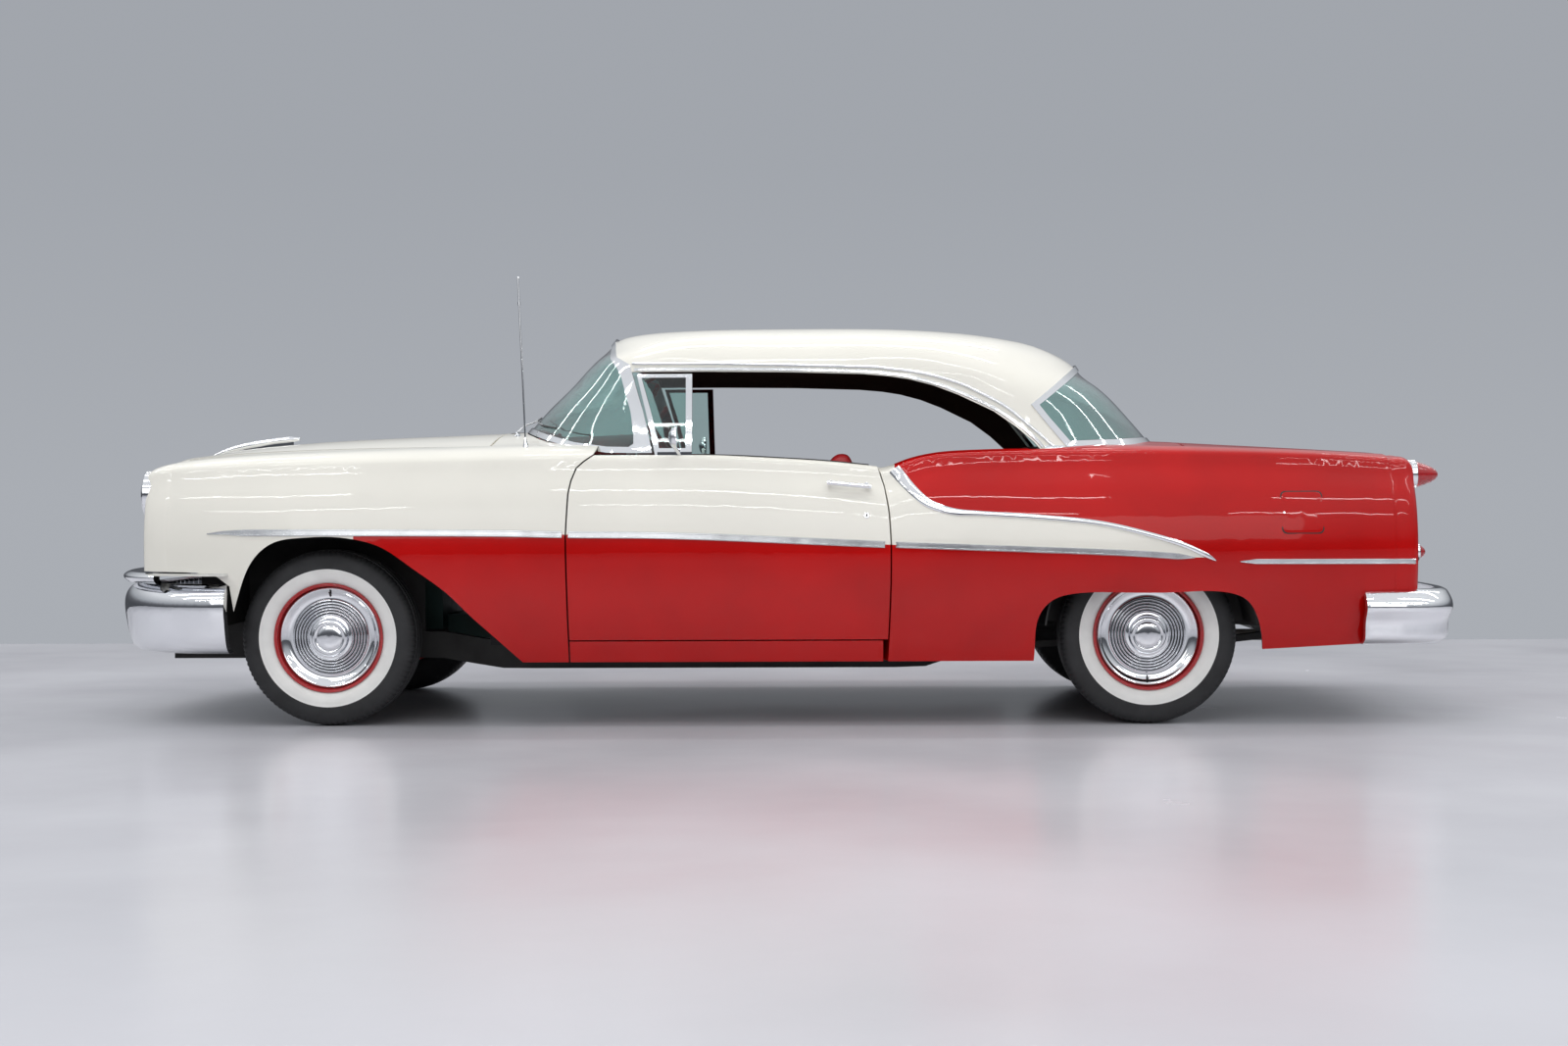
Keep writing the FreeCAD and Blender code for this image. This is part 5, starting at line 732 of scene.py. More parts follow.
for way, side in SIDES.items():
    door = tree_of("door_" + way)
    place, normal = side_hit(door, at(2040), 0.792, side)
    button("lock_" + way, place, normal, 11, 3, "chrome", body="door_" + way)
    button("lock_barrel_" + way, place + normal * 0.0024, normal, 5, 1.2, "black", 20, body="door_" + way)
    fittings = tree_of("door_fittings_" + way)
    found = hit(fittings, (at(2040), side * 1.2, 0.905), (0, -side, 0))
    if found:
        button("handle_button_" + way, found[0], found[1], 10, 4, "chrome", body="door_" + way)
    found = hit(fittings, (at(1500), side * 0.912, 1.086), (-1, 0, 0))
    if found:
        button("mirror_glass_" + way, found[0] - vec(0.001, 0, 0), (1, 0, 0), 37, 1.6, "mirror", 48,
            body="door_" + way)


def top_hit(tree, x, y):
    return hit(tree, (x, y, ABOVE), (0, 0, -1))


def rear_hit(tree, y, z):
    return hit(tree, (BEHIND, y, z), (-1, 0, 0))


# Wipers, and the cowl vent's slots as flat black strips of painted shade
pane = tree_of("windshield")
cowl = tree_of("cowl")
for way, side in SIDES.items():
    blade = []
    for share in (0, 0.25, 0.5, 0.75, 1):
        y = side * (0.60 - 0.46 * share)
        found = hit(pane, (-1.3, y, 1.128 + 0.052 * share), (1, 0, 0))
        if found:
            blade.append(found[0] + found[1] * 0.006)
    if len(blade) > 2:
        tube("wiper_blade_" + way, blade, 3.6, "black", 0.012, 8)
        tube("wiper_spine_" + way, [p + vec(-0.006, 0, 0.004) for p in blade[1:-1]], 2.4, "satin", 0.012, 6)
        foot = top_hit(cowl, at(668), side * 0.44)
        if foot:
            lathe("wiper_pivot_" + way, [(-3, 13), (4, 13), (8, 9), (16, 8), (18, 5), (18, 0.5), (-3, 0.5)],
                foot[0], (-0.3, 0, 1), "chrome", 28)
            root = foot[0] + vec(-0.004, 0, 0.013)
            middle = blade[len(blade) // 2] + vec(-0.008, 0, 0.006)
            tube("wiper_arm_" + way, [root, root.lerp(middle, 0.5) + vec(-0.006, 0, 0.006), middle], (4.5, 2.6),
                "satin", 0.012, 8)
# Each vent slot is a flat black strip on the cowl top: painted shade of the opening.
for i in range(15):
    y = (i - 7) * 0.034
    low, high = top_hit(cowl, at(614), y), top_hit(cowl, at(648), y)
    if low and high:
        tube(f"cowl_slot_shade_{i}", [low[0] + vec(0, 0, 0.0002), high[0] + vec(0, 0, 0.0002)], 4.5, "black", 0.01, 10,
            flat=0.35, up=(0, 0, 1))


# Rear: blank plate with its bolts and frame, trunk lock and handle
plate_outline = rounded(-0.1525, 0.1525, 0.5465 - 0.076, 0.5465 + 0.076, 0.012)
PLATE_BOLTS = 0.5665
tail = tree_of("tail_panel")
plate_face = max(rear_hit(tail, y, PLATE_BOLTS)[0].x for y in (-0.14, 0.14)) + 0.006


def on_tail(a, b, h):
    return vec(plate_face + h, a, b)


slab("number_plate", plate_outline, on_tail, "plate", 0.6, 1.6)
edge = [on_tail(a, b, 0.0016) for a, b in plate_outline]
tube("plate_frame", edge, 3.2, "chrome", 0.012, 8, closed=True)
for way, side in SIDES.items():
    profile = [(-26, 3), (0, 3), (0, 7), (2.6, 7), (3.6, 5.4), (3.6, 0.4), (-26, 0.4)]
    lathe("plate_bolt_" + way, profile, (plate_face + 0.0016, side * 0.089, PLATE_BOLTS), (1, 0, 0), "satin", 20)
lid = tree_of("trunk_lid")
found = rear_hit(lid, 0, 0.735)
button("trunk_lock", found[0], found[1], 15, 5, "chrome", body="trunk_lid")
grip = [rear_hit(lid, y, 0.70 - abs(y) * 0.10)[0] + vec(0.006 if abs(y) < 0.2 else 0.0, 0, 0)
    for y in (-0.24, -0.16, -0.08, 0, 0.08, 0.16, 0.24)]
tube("trunk_moulding", grip, 8, "chrome", 0.012, 12, flat=0.8, up=(0, 0, 1), body="trunk_lid")


# Turned-in side edges of the trunk lid, and splash panels ahead of the front wheels
LID_FACE = 1.9
LID_SHEET = 0.0015
LID_EDGE = 0.042
SPLASH = (at(-402), at(-400))
SPLASH_INNER = 0.40
for way, side in SIDES.items():
    edge_y = next(y for y in (0.604 - i * 0.0005 for i in range(40)) if rear_hit(lid, side * y, 0.80))
    loops = []
    for i in range(26):
        z = 0.636 + i * 0.0145
        found = rear_hit(lid, side * edge_y, z)
        if found and found[0].x > LID_FACE:
            x = found[0].x - 0.003
            y, inner = side * edge_y, side * (edge_y - LID_SHEET)
            loops.append([(x, y, z), (x, inner, z), (x - LID_EDGE, inner, z), (x - LID_EDGE, y, z)])
    rings("trunk_lid_edge_" + way, loops, "red", body="trunk_lid")
    panel = tree_of("fender_" + way)
    loops = []
    for i in range(32):
        z = 0.38 + i * 0.0142
        found = hit(panel, (SPLASH[0], side * 0.5, z), (0, side, 0))
        outer = found[0].y - side * 0.003 if found else side * 0.87
        inner = side * SPLASH_INNER
        loops.append([(SPLASH[0], inner, z), (SPLASH[0], outer, z), (SPLASH[1], outer, z), (SPLASH[1], inner, z)])
    rings("splash_panel_" + way, loops, "under")


# Seats: soft forms over the CAD benches, with pleated inserts and piping
SEAT_VOXEL = 0.010
CLOTH_FRAMES = 20
CLOTH_PRESSURE = 4.0


def soft_block(name, outline, half_from, half_to, cap):
    """Closed soft form of a side outline of (x, z) points in metres, blown up a little by cloth pressure."""
    middle = sum((Vector(p) for p in outline), Vector((0, 0))) / len(outline)
    loops = []
    for share, shrink in ((0, 0.86), (0.015, 0.96), (0.05, 1), (0.95, 1), (0.985, 0.96), (1, 0.86)):
        y = half_from + (half_to - half_from) * share
        loops.append([(middle.x + (x - middle.x) * shrink, y, middle.y + (z - middle.y) * shrink)
            for x, z in outline])
    made = rings(name, loops, "hide_red", angle=80)
    scene = bpy.context.scene
    remesh = made.modifiers.new("remesh", "REMESH")
    remesh.mode = "VOXEL"
    remesh.voxel_size = SEAT_VOXEL
    remesh.use_smooth_shade = True
    smoother = made.modifiers.new("smooth", "SMOOTH")
    smoother.factor = 0.5
    smoother.iterations = 8
    keep_result(made)
    start = [v.co.copy() for v in made.data.vertices]
    cloth = made.modifiers.new("cloth", "CLOTH")
    cloth.settings.use_pressure = True
    cloth.settings.uniform_pressure_force = CLOTH_PRESSURE
    cloth.settings.effector_weights.gravity = 0
    cloth.settings.quality = 4
    cloth.point_cache.frame_start = 1
    cloth.point_cache.frame_end = CLOTH_FRAMES
    for frame_number in range(1, CLOTH_FRAMES + 1):
        scene.frame_set(frame_number)
    keep_result(made)
    for v, co in zip(made.data.vertices, start):
        move = v.co - co
        if move.length > cap * MM:
            v.co = co + move * (cap * MM / move.length)
    scene.frame_set(1)
    return made


def keep_result(made):
    """The modifiers' result becomes the mesh."""
    graph = bpy.context.evaluated_depsgraph_get()
    mesh = bpy.data.meshes.new_from_object(made.evaluated_get(graph))
    made.modifiers.clear()
    made.data = mesh


PLEAT_PITCH = 0.085
PLEAT_DEPTH = 5


def pleated(made, inside):
    """Sewn channels where inside(place, normal) is true, and that area gets the grey cloth."""
    mesh = made.data
    mesh.materials.append(mat["cloth_grey"])
    places = [v.co.copy() for v in mesh.vertices]
    normals = [v.normal.copy() for v in mesh.vertices]
    for v, place, normal in zip(mesh.vertices, places, normals):
        if inside(place, normal):
            share = abs(math.cos(math.pi * place.y / PLEAT_PITCH))
            v.co = place - normal * PLEAT_DEPTH * MM * (0.35 + share ** 8)
    for face in mesh.polygons:
        face.use_smooth = True
        centre = sum((places[i] for i in face.vertices), Vector()) / len(face.vertices)
        normal = sum((normals[i] for i in face.vertices), Vector()).normalized()
        if inside(centre, normal):
            face.material_index = len(mesh.materials) - 1
    mesh.update()


PIPING = 4.0


def piping(name, made, points, direction):
    """Cord sewn on a soft form round a closed row of ray starts."""
    mesh = made.data
    tree = BVHTree.FromPolygons([v.co.copy() for v in mesh.vertices], [tuple(f.vertices) for f in mesh.polygons])
    path = []
    for p in points:
        found = hit(tree, p, direction)
        if found:
            path.append(found[0] + found[1] * PIPING * 0.3 * MM)
    if len(path) > 6:
        tube(name, path, PIPING, "hide_white", 0.02, 8, closed=True)


def seat_outline(points):
    """Rounded closed outline from corner points in mm."""
    places = [Vector(spot(x, z)) for x, z in points]
    made = []
    for a, b, c in zip(places[-1:] + places[:-1], places, places[1:] + places[:1]):
        r = min(0.03, (a - b).length * 0.4, (c - b).length * 0.4)
        p, q = b + (a - b).normalized() * r, b + (c - b).normalized() * r
        made += [tuple(p), tuple((p + q + b * 2) / 4), tuple(q)]
    return made


def on_cushion(start, end, reach):
    """Whether a place is on a sitting face, between two x places and up to a reach, clear of the middle."""
    return lambda place, normal: normal.z > 0.6 and at(start) < place.x < at(end) and 0.05 < abs(place.y) < reach


def on_back(low, high, centre, reach, clear=-1):
    """Whether a place is on a leaning face, between two heights and near a centre, clear of it by a gap."""
    return lambda place, normal: (normal.x < -0.5 and low < place.z < high
        and clear < abs(place.y - centre) < reach)


def lying(z):
    """Lift of a plate that lies flat at a height."""
    return lambda a, b, h: vec(a, b, z + h)


SEAT_HALF = 0.625
REAR_HALF = 0.672
FRONT_SEAT_MIDDLE = 0.305
REAR_SEAT_MIDDLE = 0.33
cushion = soft_block("front_cushion", seat_outline([(1338, 420), (1334, 540), (1360, 572), (1760, 552), (1850, 540),
    (1860, 430)]), -SEAT_HALF, SEAT_HALF, 14)
pleated(cushion, on_cushion(1420, 1780, 0.56))
for way, side in SIDES.items():
    centre = side * FRONT_SEAT_MIDDLE
    ring = rounded(at(1420), at(1760), centre - 0.255, centre + 0.255, 0.03, 4)
    piping("front_cushion_piping_" + way, cushion, [(x, y, 1.2) for x, y in ring], (0, 0, -1))
    back = soft_block("front_back_" + way, seat_outline([(1812, 560), (1880, 930), (1912, 1020), (1940, 1036),
        (1976, 1032), (1990, 1000), (1962, 760), (1925, 440), (1880, 440)]),
        *sorted((side * 0.006, side * SEAT_HALF)), 10)
    pleated(back, on_back(0.60, 0.965, centre, 0.235))
    ring = rounded(centre - 0.235, centre + 0.235, 0.60, 0.965, 0.03, 4)
    piping("front_back_piping_" + way, back, [(at(1500), y, z) for y, z in ring], (1, 0, 0))
    loop = rounded(centre - 0.29, centre + 0.29, 0.50, 0.99, 0.06, 5)
    piping("front_back_edge_" + way, back, [(at(2200), y, z) for y, z in loop], (-1, 0, 0))
    if way == "left":
        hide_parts("front_seat")
    for share in (0.25, 0.75):
        y = side * (0.19 + 0.40 * share)
        foot = rounded(at(1352), at(1882), y - 0.012, y + 0.012, 0.008, 3)
        slab(f"seat_track_{way}_{share * 100:.0f}", foot, lying(0.301), "black", 3, 24)
    base = rounded(at(1345), at(1895), *sorted((side * 0.165, side * 0.60)), 0.03, 4)
    slab("seat_base_" + way, base, lying(0.326), "black", 8, 104)

rear_cushion = soft_block("rear_cushion", seat_outline([(2246, 462), (2242, 575), (2266, 596), (2540, 574),
    (2585, 560), (2560, 462)]), -REAR_HALF, REAR_HALF, 12)
pleated(rear_cushion, on_cushion(2300, 2540, 0.61))
rear_back = soft_block("rear_back", seat_outline([(2582, 590), (2652, 925), (2663, 948), (2678, 935), (2682, 640),
    (2640, 590)]), -REAR_HALF, REAR_HALF, 10)
pleated(rear_back, on_back(0.64, 0.88, 0, 0.61, 0.05))
for way, side in SIDES.items():
    centre = side * REAR_SEAT_MIDDLE
    ring = rounded(at(2300), at(2525), centre - 0.28, centre + 0.28, 0.03, 4)
    piping("rear_cushion_piping_" + way, rear_cushion, [(x, y, 1.1) for x, y in ring], (0, 0, -1))
    ring = rounded(centre - 0.28, centre + 0.28, 0.64, 0.88, 0.03, 4)
    piping("rear_back_piping_" + way, rear_back, [(at(2300), y, z) for y, z in ring], (1, 0, 0))
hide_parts("rear_seat")
slab("rear_seat_base", rounded(at(2262), at(2560), -0.62, 0.62, 0.03, 4), lying(0.4405), "black", 4, 24)


# Door cards and rear side trim
CARD = 0.7715
WINDOW_SLOT = (0.794, 0.810)


def side_plate(name, outline, side, depth, thick, material, body="body"):
    """Plate on the inner side wall; depth is how far its back stands off the wall, in mm."""
    def lift(a, b, h):
        return vec(a, side * (CARD - depth * MM - h), b)

    return slab(name, outline, lift, material, 1.5, thick, body=body)


for way, side in SIDES.items():
    body = "door_" + way
    side_plate("door_card_" + way, rounded(at(1142), at(2058), 0.352, 0.985, 0.03), side, 0, 4, "hide_red",
        body=body)
    side_plate("door_insert_" + way, rounded(at(1170), at(2030), 0.700, 0.885, 0.02), side, 4, 3, "cloth_grey",
        body=body)
    side_plate("door_kick_" + way, rounded(at(1160), at(2040), 0.370, 0.500, 0.02), side, 4, 3, "carpet", body=body)
    for z in (0.693, 0.892, 0.508):
        line = [point(x, side * (CARD - 0.0055), z) for x in (1165, 1400, 1750, 2035)]
        tube(f"door_strip_{z * 1000:.0f}_{way}", line, 3.5, "chrome", 0.03, 8, body=body)
    rest = []
    for x, drop, reach in ((1420, 0.0, 0.004), (1470, 0.0, 0.045), (1600, 0.0, 0.058), (1760, 0.0, 0.052),
            (1830, 0.0, 0.006)):
        y = CARD - 0.004
        rest.append([point(x, side * (y - reach * a), 0.640 + b * 0.030)
            for a, b in ((0, -1), (0.7, -0.9), (1, -0.3), (1, 0.5), (0.85, 0.9), (0, 1))])
    rings("armrest_" + way, rest, "hide_red", angle=70, body=body)
    for x, z, tag in ((1290, 0.62, "window"), (1880, 0.83, "latch")):
        hub = point(x, side * (CARD - 0.004), z)
        button(f"{tag}_escutcheon_" + way, hub, (0, -side, 0), 20, 6, "chrome", body=body)
        end = hub + vec(0.075 if tag == "window" else -0.095, -side * 0.022, 0.03 if tag == "window" else 0.0)
        tube(f"{tag}_handle_" + way, [hub + vec(0, -side * 0.006, 0),
            hub.lerp(end, 0.35) + vec(0, -side * 0.012, 0), end], (5.5, 4.5), "chrome", 0.01, 10, body=body)
        if tag == "window":
            button("window_knob_" + way, end - vec(0, side * 0.004, 0), (0, -side, 0), 9, 16, "black", body=body)
    side_plate("rear_trim_" + way, rounded(at(2138), at(2560), 0.600, 0.985, 0.03), side, 0, 4, "hide_red")
    side_plate("rear_insert_" + way, rounded(at(2165), at(2530), 0.700, 0.885, 0.02), side, 4, 3, "cloth_grey")
    door = tree_of("door_" + way)
    for tag, y in (("outer", WINDOW_SLOT[1] + 0.003), ("inner", WINDOW_SLOT[0] - 0.003)):
        found = [top_hit(door, at(x), side * y) for x in (1400, 1560, 1720, 1880, 2050)]
        channel = [f[0] + vec(0, 0, 0.0012) for f in found if f]
        tube(f"window_seal_{tag}_" + way, channel, 3.4, "seal", 0.03, 8, body=body)


# Dashboard: lower panel, dial with its bezel, ticks and needle, radio, knobs, glove box and bright strips
dash = tree_of("dashboard")


def dash_x(y, z):
    found = hit(dash, (0.2, y, z), (-1, 0, 0))
    return found[0].x if found else at(1128)


DASH_FACE = dash_x(0.3, 0.95)


def on_dash(a, b, h):
    return vec(DASH_FACE + h, a, b)


slab("dash_lower_panel", rounded(-0.72, 0.72, 0.868, 0.935, 0.02), on_dash, "hide_red", 3, 8)
tube("dash_strip", [on_dash(y, 0.942, 0.002) for y in (-0.72, -0.3, 0.3, 0.72)], 5, "chrome", 0.05, 10)
DRIVER = -0.385
oval = [(DRIVER + 0.150 * math.cos(t), 0.992 + 0.040 * math.sin(t))
    for t in [2 * math.pi * i / 48 for i in range(48)]]
slab("instrument_face", oval, on_dash, "dial", 1, 4)
tube("instrument_bezel", [on_dash(a, b, 0.005) for a, b in oval], 6, "chrome", 0.01, 10, closed=True)
for i in range(13):
    turn = math.radians(200 - 220 * i / 12)
    a, b = math.cos(turn), math.sin(turn)
    points = [on_dash(DRIVER + 0.132 * a * r, 0.985 + 0.034 * b * r, 0.0045) for r in (0.86, 1.0)]
    tube(f"dial_tick_{i}", points, 1.0, "black", 0.004, 6)
tube("dial_needle", [on_dash(DRIVER, 0.975, 0.006), on_dash(DRIVER - 0.085, 0.996, 0.006)], (1.6, 0.7), "rim_red",
    0.01, 6)
slab("radio_face", rounded(-0.115, 0.115, 0.962, 1.022, 0.012), on_dash, "brushed", 1.5, 5)
slab("radio_dial", rounded(-0.070, 0.070, 0.985, 1.012, 0.006), lambda a, b, h: on_dash(a, b, h + 0.005), "dial",
    0.5, 1.5)
for i, y in enumerate((-0.098, -0.05, -0.025, 0, 0.025, 0.05, 0.098)):
    big = abs(y) > 0.09
    button(f"radio_knob_{i}", on_dash(y, 0.985 if big else 0.973, 0.005), (1, 0, 0), 11 if big else 5,
        16 if big else 5, "hide_white" if big else "chrome", 24)
for i, y in enumerate((-0.60, -0.20, 0.18, 0.23)):
    button(f"dash_knob_{i}", on_dash(y, 0.902, 0.008), (1, 0, 0), 10, 18, "hide_white", 24)
slab("glove_box", rounded(0.30, 0.66, 0.955, 1.026, 0.012), on_dash, "dash", 2, 4)
button("glove_lock", on_dash(0.48, 1.010, 0.004), (1, 0, 0), 9, 7, "chrome", 24)
tube("glove_strip", [on_dash(y, 0.975, 0.004) for y in (0.31, 0.48, 0.65)], 4, "chrome", 0.03, 8)


# Steering wheel ring and hub, column levers, pedals
wheel = point(1290, DRIVER, 0.965)
wheel_axis = vec(math.cos(math.radians(30)), 0, math.sin(math.radians(30)))
wheel_across = wheel_axis.cross(vec(0, 1, 0))


def on_wheel(radius, turn, drop):
    way = vec(0, 1, 0) * math.cos(turn) + wheel_across * math.sin(turn)
    return wheel + way * radius * MM - wheel_axis * drop * MM


tube("horn_ring", [on_wheel(118, 2 * math.pi * i / 24, 10) for i in range(24)], 3.6, "chrome", 0.02, 8, closed=True,
    body="steering_wheel")
for i, turn in enumerate((math.radians(8), math.radians(172))):
    tube(f"horn_spoke_{i}", [on_wheel(30, turn, 13), on_wheel(118, turn, 10)], (5, 3.4), "chrome", 0.02, 8,
        body="steering_wheel")
lathe("horn_button", [(-4, 36), (3, 36), (8, 32), (13, 20), (15, 6), (15, 0.5), (-4, 0.5)],
    wheel - wheel_axis * 0.0165, wheel_axis, "hide_white", 48, body="steering_wheel")
lathe("horn_button_ring", [(-3, 38), (2, 38.6), (6, 37), (6, 34), (-3, 34)], wheel - wheel_axis * 0.0165,
    wheel_axis, "chrome", 48, body="steering_wheel")
low = wheel - wheel_axis * 0.125
tube("gear_lever", [low + vec(0, 0.024, 0), low + vec(0.02, 0.12, 0.03), low + vec(0.055, 0.235, 0.075)], (6, 4.5),
    "chrome", 0.01, 10)
button("gear_knob", low + vec(0.052, 0.228, 0.071), (0.45, 0.75, 0.4), 11, 24, "hide_white", 28)
tube("turn_lever", [low + vec(0.01, -0.024, 0), low + vec(0.02, -0.10, 0.02), low + vec(0.03, -0.16, 0.04)],
    (4.5, 3.5), "chrome", 0.01, 10)
cowl_back = hit(cowl, (at(900), -0.3, 0.62), (-1, 0, 0))
FIREWALL = cowl_back[0].x if cowl_back else at(620)
for name, y, high, wide in (("brake", -0.33, 0.46, 0.055), ("throttle", -0.20, 0.42, 0.028)):
    pad = rounded(y - wide, y + wide, high - 0.035, high + 0.035, 0.012, 4)
    slab("pedal_" + name, pad, lambda a, b, h: vec(at(716) + (b - 0.44) * 0.5 + h, a, b), "seal", 2, 9)
    tube("pedal_arm_" + name, [point(718, y, high), point(690, y, high + 0.10),
        vec(FIREWALL - 0.002, y, high + 0.16)], 6, "black", 0.02, 8)


# Overhead: sun visors, inner mirror, dome lamp, bows of the headliner
def under_roof(x, y):
    found = hit(roof, (x, y, 1.15), (0, 0, 1))
    return found[0].z if found else None


for way, side in SIDES.items():
    visor = rounded(at(1175), at(1330), *sorted((side * 0.10, side * 0.52)), 0.03, 4)
    if all(under_roof(a, b) for a, b in visor):
        def lift(a, b, h):
            return vec(a, b, (under_roof(a, b) or 1.5) - 0.018 - 0.05 * (a - at(1175)) + h)

        slab("sun_visor_" + way, visor, lift, "liner", 3, 11)
        root = point(1178, side * 0.30, under_roof(at(1178), side * 0.30))
        tube("visor_rod_" + way, [root + vec(0, 0, 0.002), root - vec(-0.004, 0, 0.014)], 4, "chrome", 0.005, 8)
top = under_roof(at(1185), 0)
if top:
    mirror_low = point(1215, 0, top - 0.075)
    tube("inner_mirror_stem", [point(1185, 0, top + 0.002), point(1190, 0, top - 0.04),
        mirror_low + vec(-0.006, 0, 0)], 4.5, "chrome", 0.01, 10)
    outline = rounded(-0.115, 0.115, -0.027, 0.027, 0.018, 5)
    slab("inner_mirror", outline, lambda a, b, h: mirror_low + vec(-0.006 + h, a, b), "chrome", 2, 10)
    slab("inner_mirror_glass", rounded(-0.108, 0.108, -0.021, 0.021, 0.014, 5), lambda a, b,
        h: mirror_low + vec(0.0042 + h, a, b), "mirror", 0.4, 1.0)
for i, x in enumerate((1480, 1780, 2080, 2380)):
    path = []
    for k in range(-8, 9):
        y = k * 0.075
        z = under_roof(at(x), y)
        if z:
            path.append(point(x, y, z + 0.0005))
    if len(path) > 4:
        tube(f"headliner_bow_{i}", path, 5, "liner", 0.03, 8, flat=0.7, up=(0, 0, 1))
top = under_roof(at(1930), 0)
if top:
    lathe("dome_lamp", [(-2, 60), (6, 60), (10, 55), (13, 40), (15, 20), (15.5, 0.5), (-2, 0.5)],
        (at(1930), 0, top), (0, 0, -1), "hide_white", 48)
    lathe("dome_ring", [(-1, 66), (5, 66), (9, 62), (9, 59), (-1, 59)], (at(1930), 0, top), (0, 0, -1), "chrome",
        48)


# Under the hood: what dresses the engine block and the radiator
CARBURETTOR = at(-130)
engine_top = max(v.co.z for v in nodes["engine"].data.vertices if abs(v.co.x - at(-50)) < 0.42
    and abs(v.co.y) < 0.25)
for way, side in SIDES.items():
    cover = rounded(at(-400), at(130), *sorted((side * 0.115, side * 0.215)), 0.035, 5)
    slab("valve_cover_" + way, cover, lying(engine_top - 0.001), "iron", 14, 62)
    for i, x in enumerate((-340, -135, 70)):
        button(f"cover_nut_{way}_{i}", point(x, side * 0.165, engine_top + 0.060), (0, 0, 1), 9, 8, "chrome", 20)
        tube(f"spark_lead_{way}_{i}", [point(-255, side * 0.03, engine_top + 0.05),
            point(x, side * 0.10, engine_top + 0.075), point(x + 20, side * 0.222, engine_top - 0.01)], 4, "seal",
            0.015, 8)
lathe("carburettor", [(-3, 62), (30, 62), (34, 48), (62, 48), (66, 70), (84, 70), (84, 0.5), (-3, 0.5)],
    (CARBURETTOR, 0, engine_top), (0, 0, 1), "satin", 48)
lathe("air_cleaner", [(80, 60), (84, 168), (92, 178), (128, 178), (138, 170), (146, 150), (147, 40), (152, 22),
    (152, 0.5), (80, 0.5)], (CARBURETTOR, 0, engine_top), (0, 0, 1), "iron", 72)
button("air_cleaner_nut", vec(CARBURETTOR, 0, engine_top + 0.151), (0, 0, 1), 14, 12, "chrome", 24)
lathe("distributor", [(-3, 40), (30, 40), (34, 48), (62, 46), (76, 34), (78, 0.5), (-3, 0.5)],
    (at(230), 0, engine_top), (0, 0, 1), "black", 40)
radiator = [v.co for v in nodes["engine"].data.vertices if v.co.x < at(-500)]
core_back = max(v.x for v in radiator)
core_front = min(v.x for v in radiator)
core_top = max(v.z for v in radiator)
for face, x, way in (("rear", core_back, 1), ("front", core_front, -1)):
    slab("radiator_core_" + face, rounded(-0.33, 0.33, 0.40, 0.80, 0.01), lambda a, b,
        h: vec(x + way * (h - 0.001), a, b), "copper", 1, 4)
lathe("radiator_cap", [(-2, 30), (6, 30), (10, 34), (20, 34), (24, 26), (25, 0.5), (-2, 0.5)],
    ((core_back + core_front) / 2, 0.10, core_top), (0, 0, 1), "chrome", 40)
fan_x = at(-462)
fan_z = 0.60
lathe("fan_hub", [(-34, 34), (12, 34), (20, 26), (24, 12), (24, 0.5), (-34, 0.5)], (fan_x, 0, fan_z), (-1, 0, 0),
    "black", 40)
for i in range(4):
    turn = math.pi / 4 + i * math.pi / 2
    out_way = vec(0, math.cos(turn), math.sin(turn))
    cross = vec(0, -math.sin(turn), math.cos(turn))
    loops = []
    for r, wide in ((0.025, 0.022), (0.07, 0.036), (0.15, 0.048), (0.185, 0.04)):
        base = vec(fan_x, 0, fan_z) + out_way * r
        loops.append([base + cross * wide * c + vec(d * 0.012 * c + e, 0, 0)
            for c, d, e in ((-1, 1, 0), (0, 1, 0.004), (1, 1, 0), (1, 1, 0.003), (0, 1, 0.007), (-1, 1, 0.003))])
    rings(f"fan_blade_{i}", loops, "white", angle=50)
tube("radiator_hose", [vec(core_back - 0.01, -0.10, core_top - 0.045),
    vec(core_back + 0.03, -0.10, core_top - 0.04), point(-478, -0.09, core_top - 0.075),
    point(-428, -0.06, engine_top - 0.035), point(-410, -0.05, engine_top - 0.04)], 22, "seal", 0.02, 16)


# Trunk: spare wheel lying on the floor, with its tyre, rim and red disc
trunk_floor = hit(tree_of("floor"), (at(3500), 0.2, 0.9), (0, 0, -1))
if trunk_floor:
    centre = point(3520, 0.16, trunk_floor[0].z + 0.1002)
    bands = [1 if a > 60 and whitewall[0] < r < whitewall[1] else 0 for a, r in full_tyre]
    lathe("spare_tyre", full_tyre, centre, (0, 0, 1), "rubber", TREAD_STEPS, tread_wave, bands,
        materials=["whitewall"])
    lathe("spare_rim", rim_profile, centre, (0, 0, 1), "rim_red", 96)
    lathe("spare_disc", [(18, 20), (24, 20)] + disc_profile[2:], centre, (0, 0, 1), "rim_red", 72)


# Camera at the photograph's place
IMAGE_WIDTH = 1600
FOCAL_PIXELS = 2299.0
camera_place = (0.2659, -9.3209, 0.9021)
yaw, pitch, roll = -0.025456, -0.016371, -0.005025
camera_data = bpy.data.cameras.new("camera")
camera_data.sensor_width = 36.0
camera_data.lens = FOCAL_PIXELS * camera_data.sensor_width / IMAGE_WIDTH
camera = bpy.data.objects.new("camera", camera_data)
bpy.context.scene.collection.objects.link(camera)


def turned(a, b, angle):
    """Two upright directions after a turn of a towards b."""
    return a * math.cos(angle) + b * math.sin(angle), b * math.cos(angle) - a * math.sin(angle)


ahead, right = turned(vec(0, 1, 0), vec(1, 0, 0), yaw)
ahead, upward = turned(ahead, vec(0, 0, 1), pitch)
right, upward = turned(right, upward, roll)
stand = Matrix((right, upward, -ahead)).transposed().to_4x4()
stand.translation = camera_place
camera.matrix_world = stand
bpy.context.scene.camera = camera

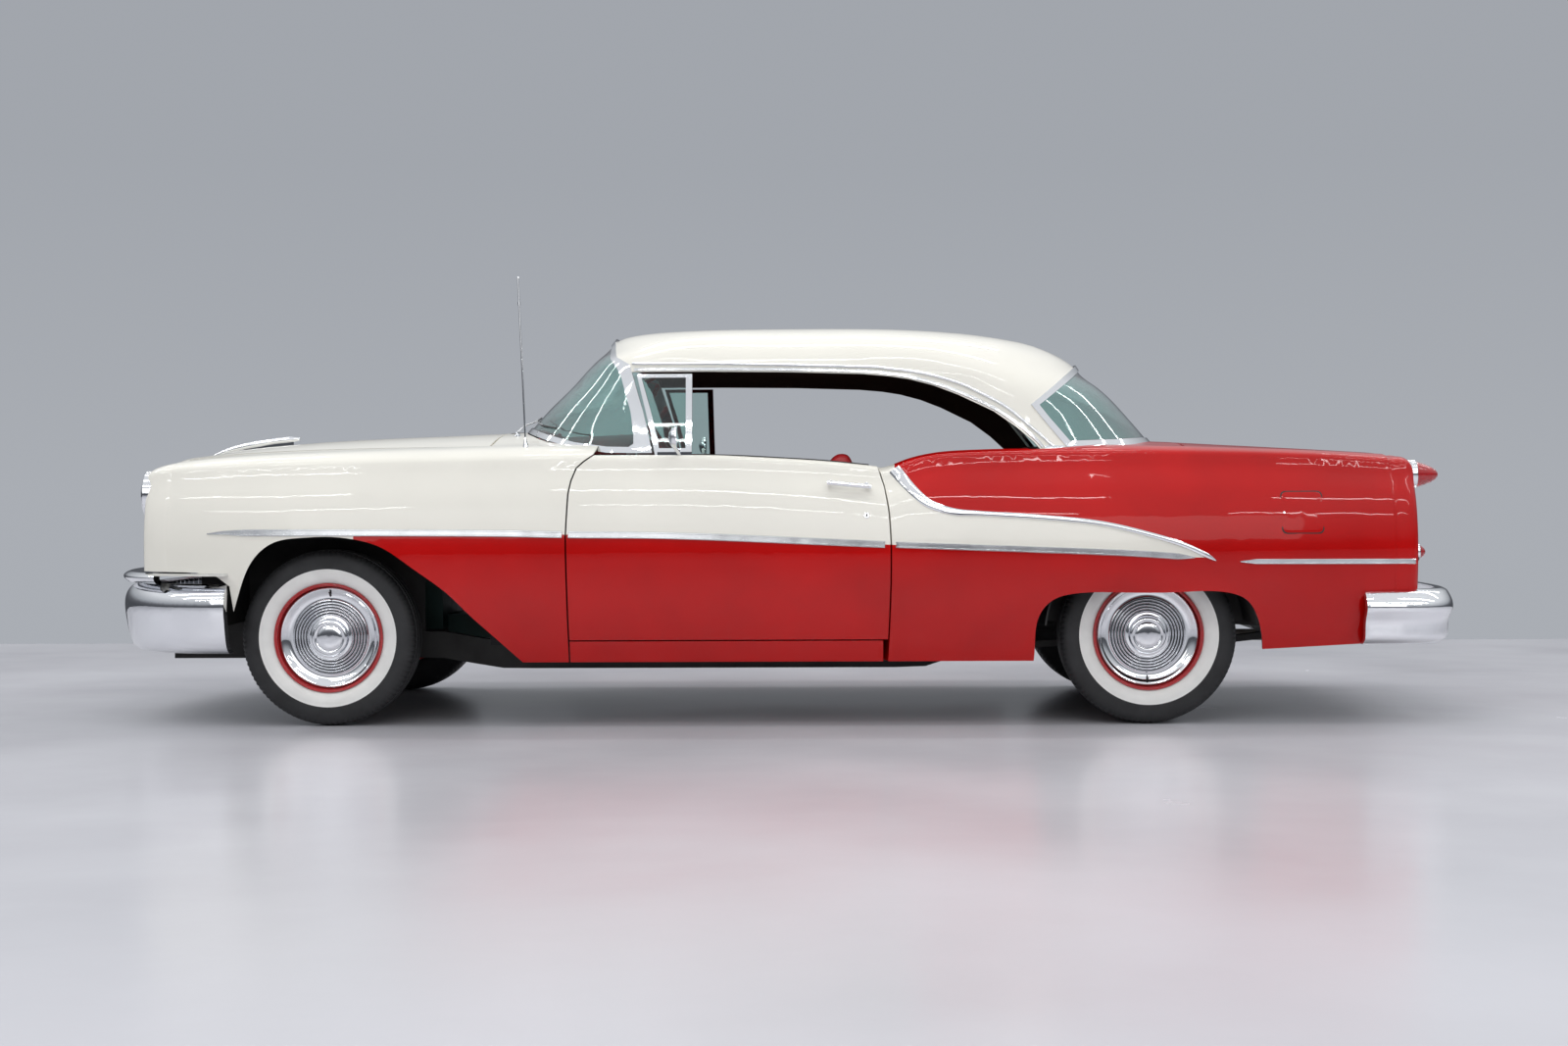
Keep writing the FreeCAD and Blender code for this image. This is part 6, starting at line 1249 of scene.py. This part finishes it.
# Floor, light and background
FLOOR_BACK = 3.75
FLOOR_REACH = 30.0
made, tree, shader = blank("studio_floor", Specular_IOR_Level=0.5)
wire(tree, shader, Base_Color=tinted(tree, (0.585, 0.58, 0.615), 0.06, 0.5, 6.0),
    Roughness=ranged(tree, noise(tree, 0.9, 8.0), 0.12, 0.34),
    Normal=bumped(tree, noise(tree, 9.0, 5.0), 0.12, 0.002))
mesh = bpy.data.meshes.new("floor")
floor_corners = [(way * FLOOR_REACH, y, 0) for way, y in ((-1, -FLOOR_REACH), (1, -FLOOR_REACH), (1, FLOOR_BACK),
    (-1, FLOOR_BACK))]
mesh.from_pydata(floor_corners, [], [(0, 1, 2, 3)])
mesh.materials.append(made)
floor = bpy.data.objects.new("studio_floor", mesh)
bpy.context.scene.collection.objects.link(floor)

world = bpy.data.worlds.new("studio")
bpy.context.scene.world = world
world.use_nodes = True
tree = world.node_tree
background = tree.nodes["Background"]
direction = add(tree, "SeparateXYZ", {0: add(tree, "TexCoord").outputs["Generated"]})
height = direction.outputs[2]
wall = ramp(tree, ranged(tree, height, 0.0, 1.0), [(0.0, (0.40, 0.42, 0.455)), (0.14, (0.36, 0.38, 0.415))])
room = ramp(tree, ranged(tree, height, 0.0, 1.0), [
    (0.0, (0.07, 0.075, 0.085)), (0.08, (0.12, 0.125, 0.14)), (0.2, (0.38, 0.40, 0.43)),
    (0.55, (0.78, 0.80, 0.83)), (1.0, (0.84, 0.86, 0.89))])
rays = add(tree, "LightPath")
seen = math_node(tree, "MAXIMUM", rays.outputs["Is Camera Ray"], rays.outputs["Is Transmission Ray"])
wire(tree, background, Color=mixed(tree, seen, room, wall))
background.inputs["Strength"].default_value = 1.0


def lamp(name, place, goal, size, watts):
    """Rectangular lamp that looks from its place at a goal."""
    data = bpy.data.lights.new(name, "AREA")
    data.shape = "RECTANGLE"
    data.size, data.size_y = size
    data.energy = watts
    made = bpy.data.objects.new(name, data)
    bpy.context.scene.collection.objects.link(made)
    made.location = place
    made.rotation_mode = "QUATERNION"
    made.rotation_quaternion = (Vector(goal) - Vector(place)).to_track_quat("-Z", "Y")


for row, y in enumerate((-6.5, -4.2, -1.9, 0.4, 2.7)):
    for column, x in enumerate((-4.6, 0.2, 5.0)):
        lamp(f"ceiling_{row}_{column}", (x, y, 4.2), (x, y, 0), (3.4, 0.12), 23)
lamp("front_fill", (0, -11.5, 4.5), (0, 0, 0.6), (12, 4), 170)

bpy.context.scene.view_settings.view_transform = "Standard"
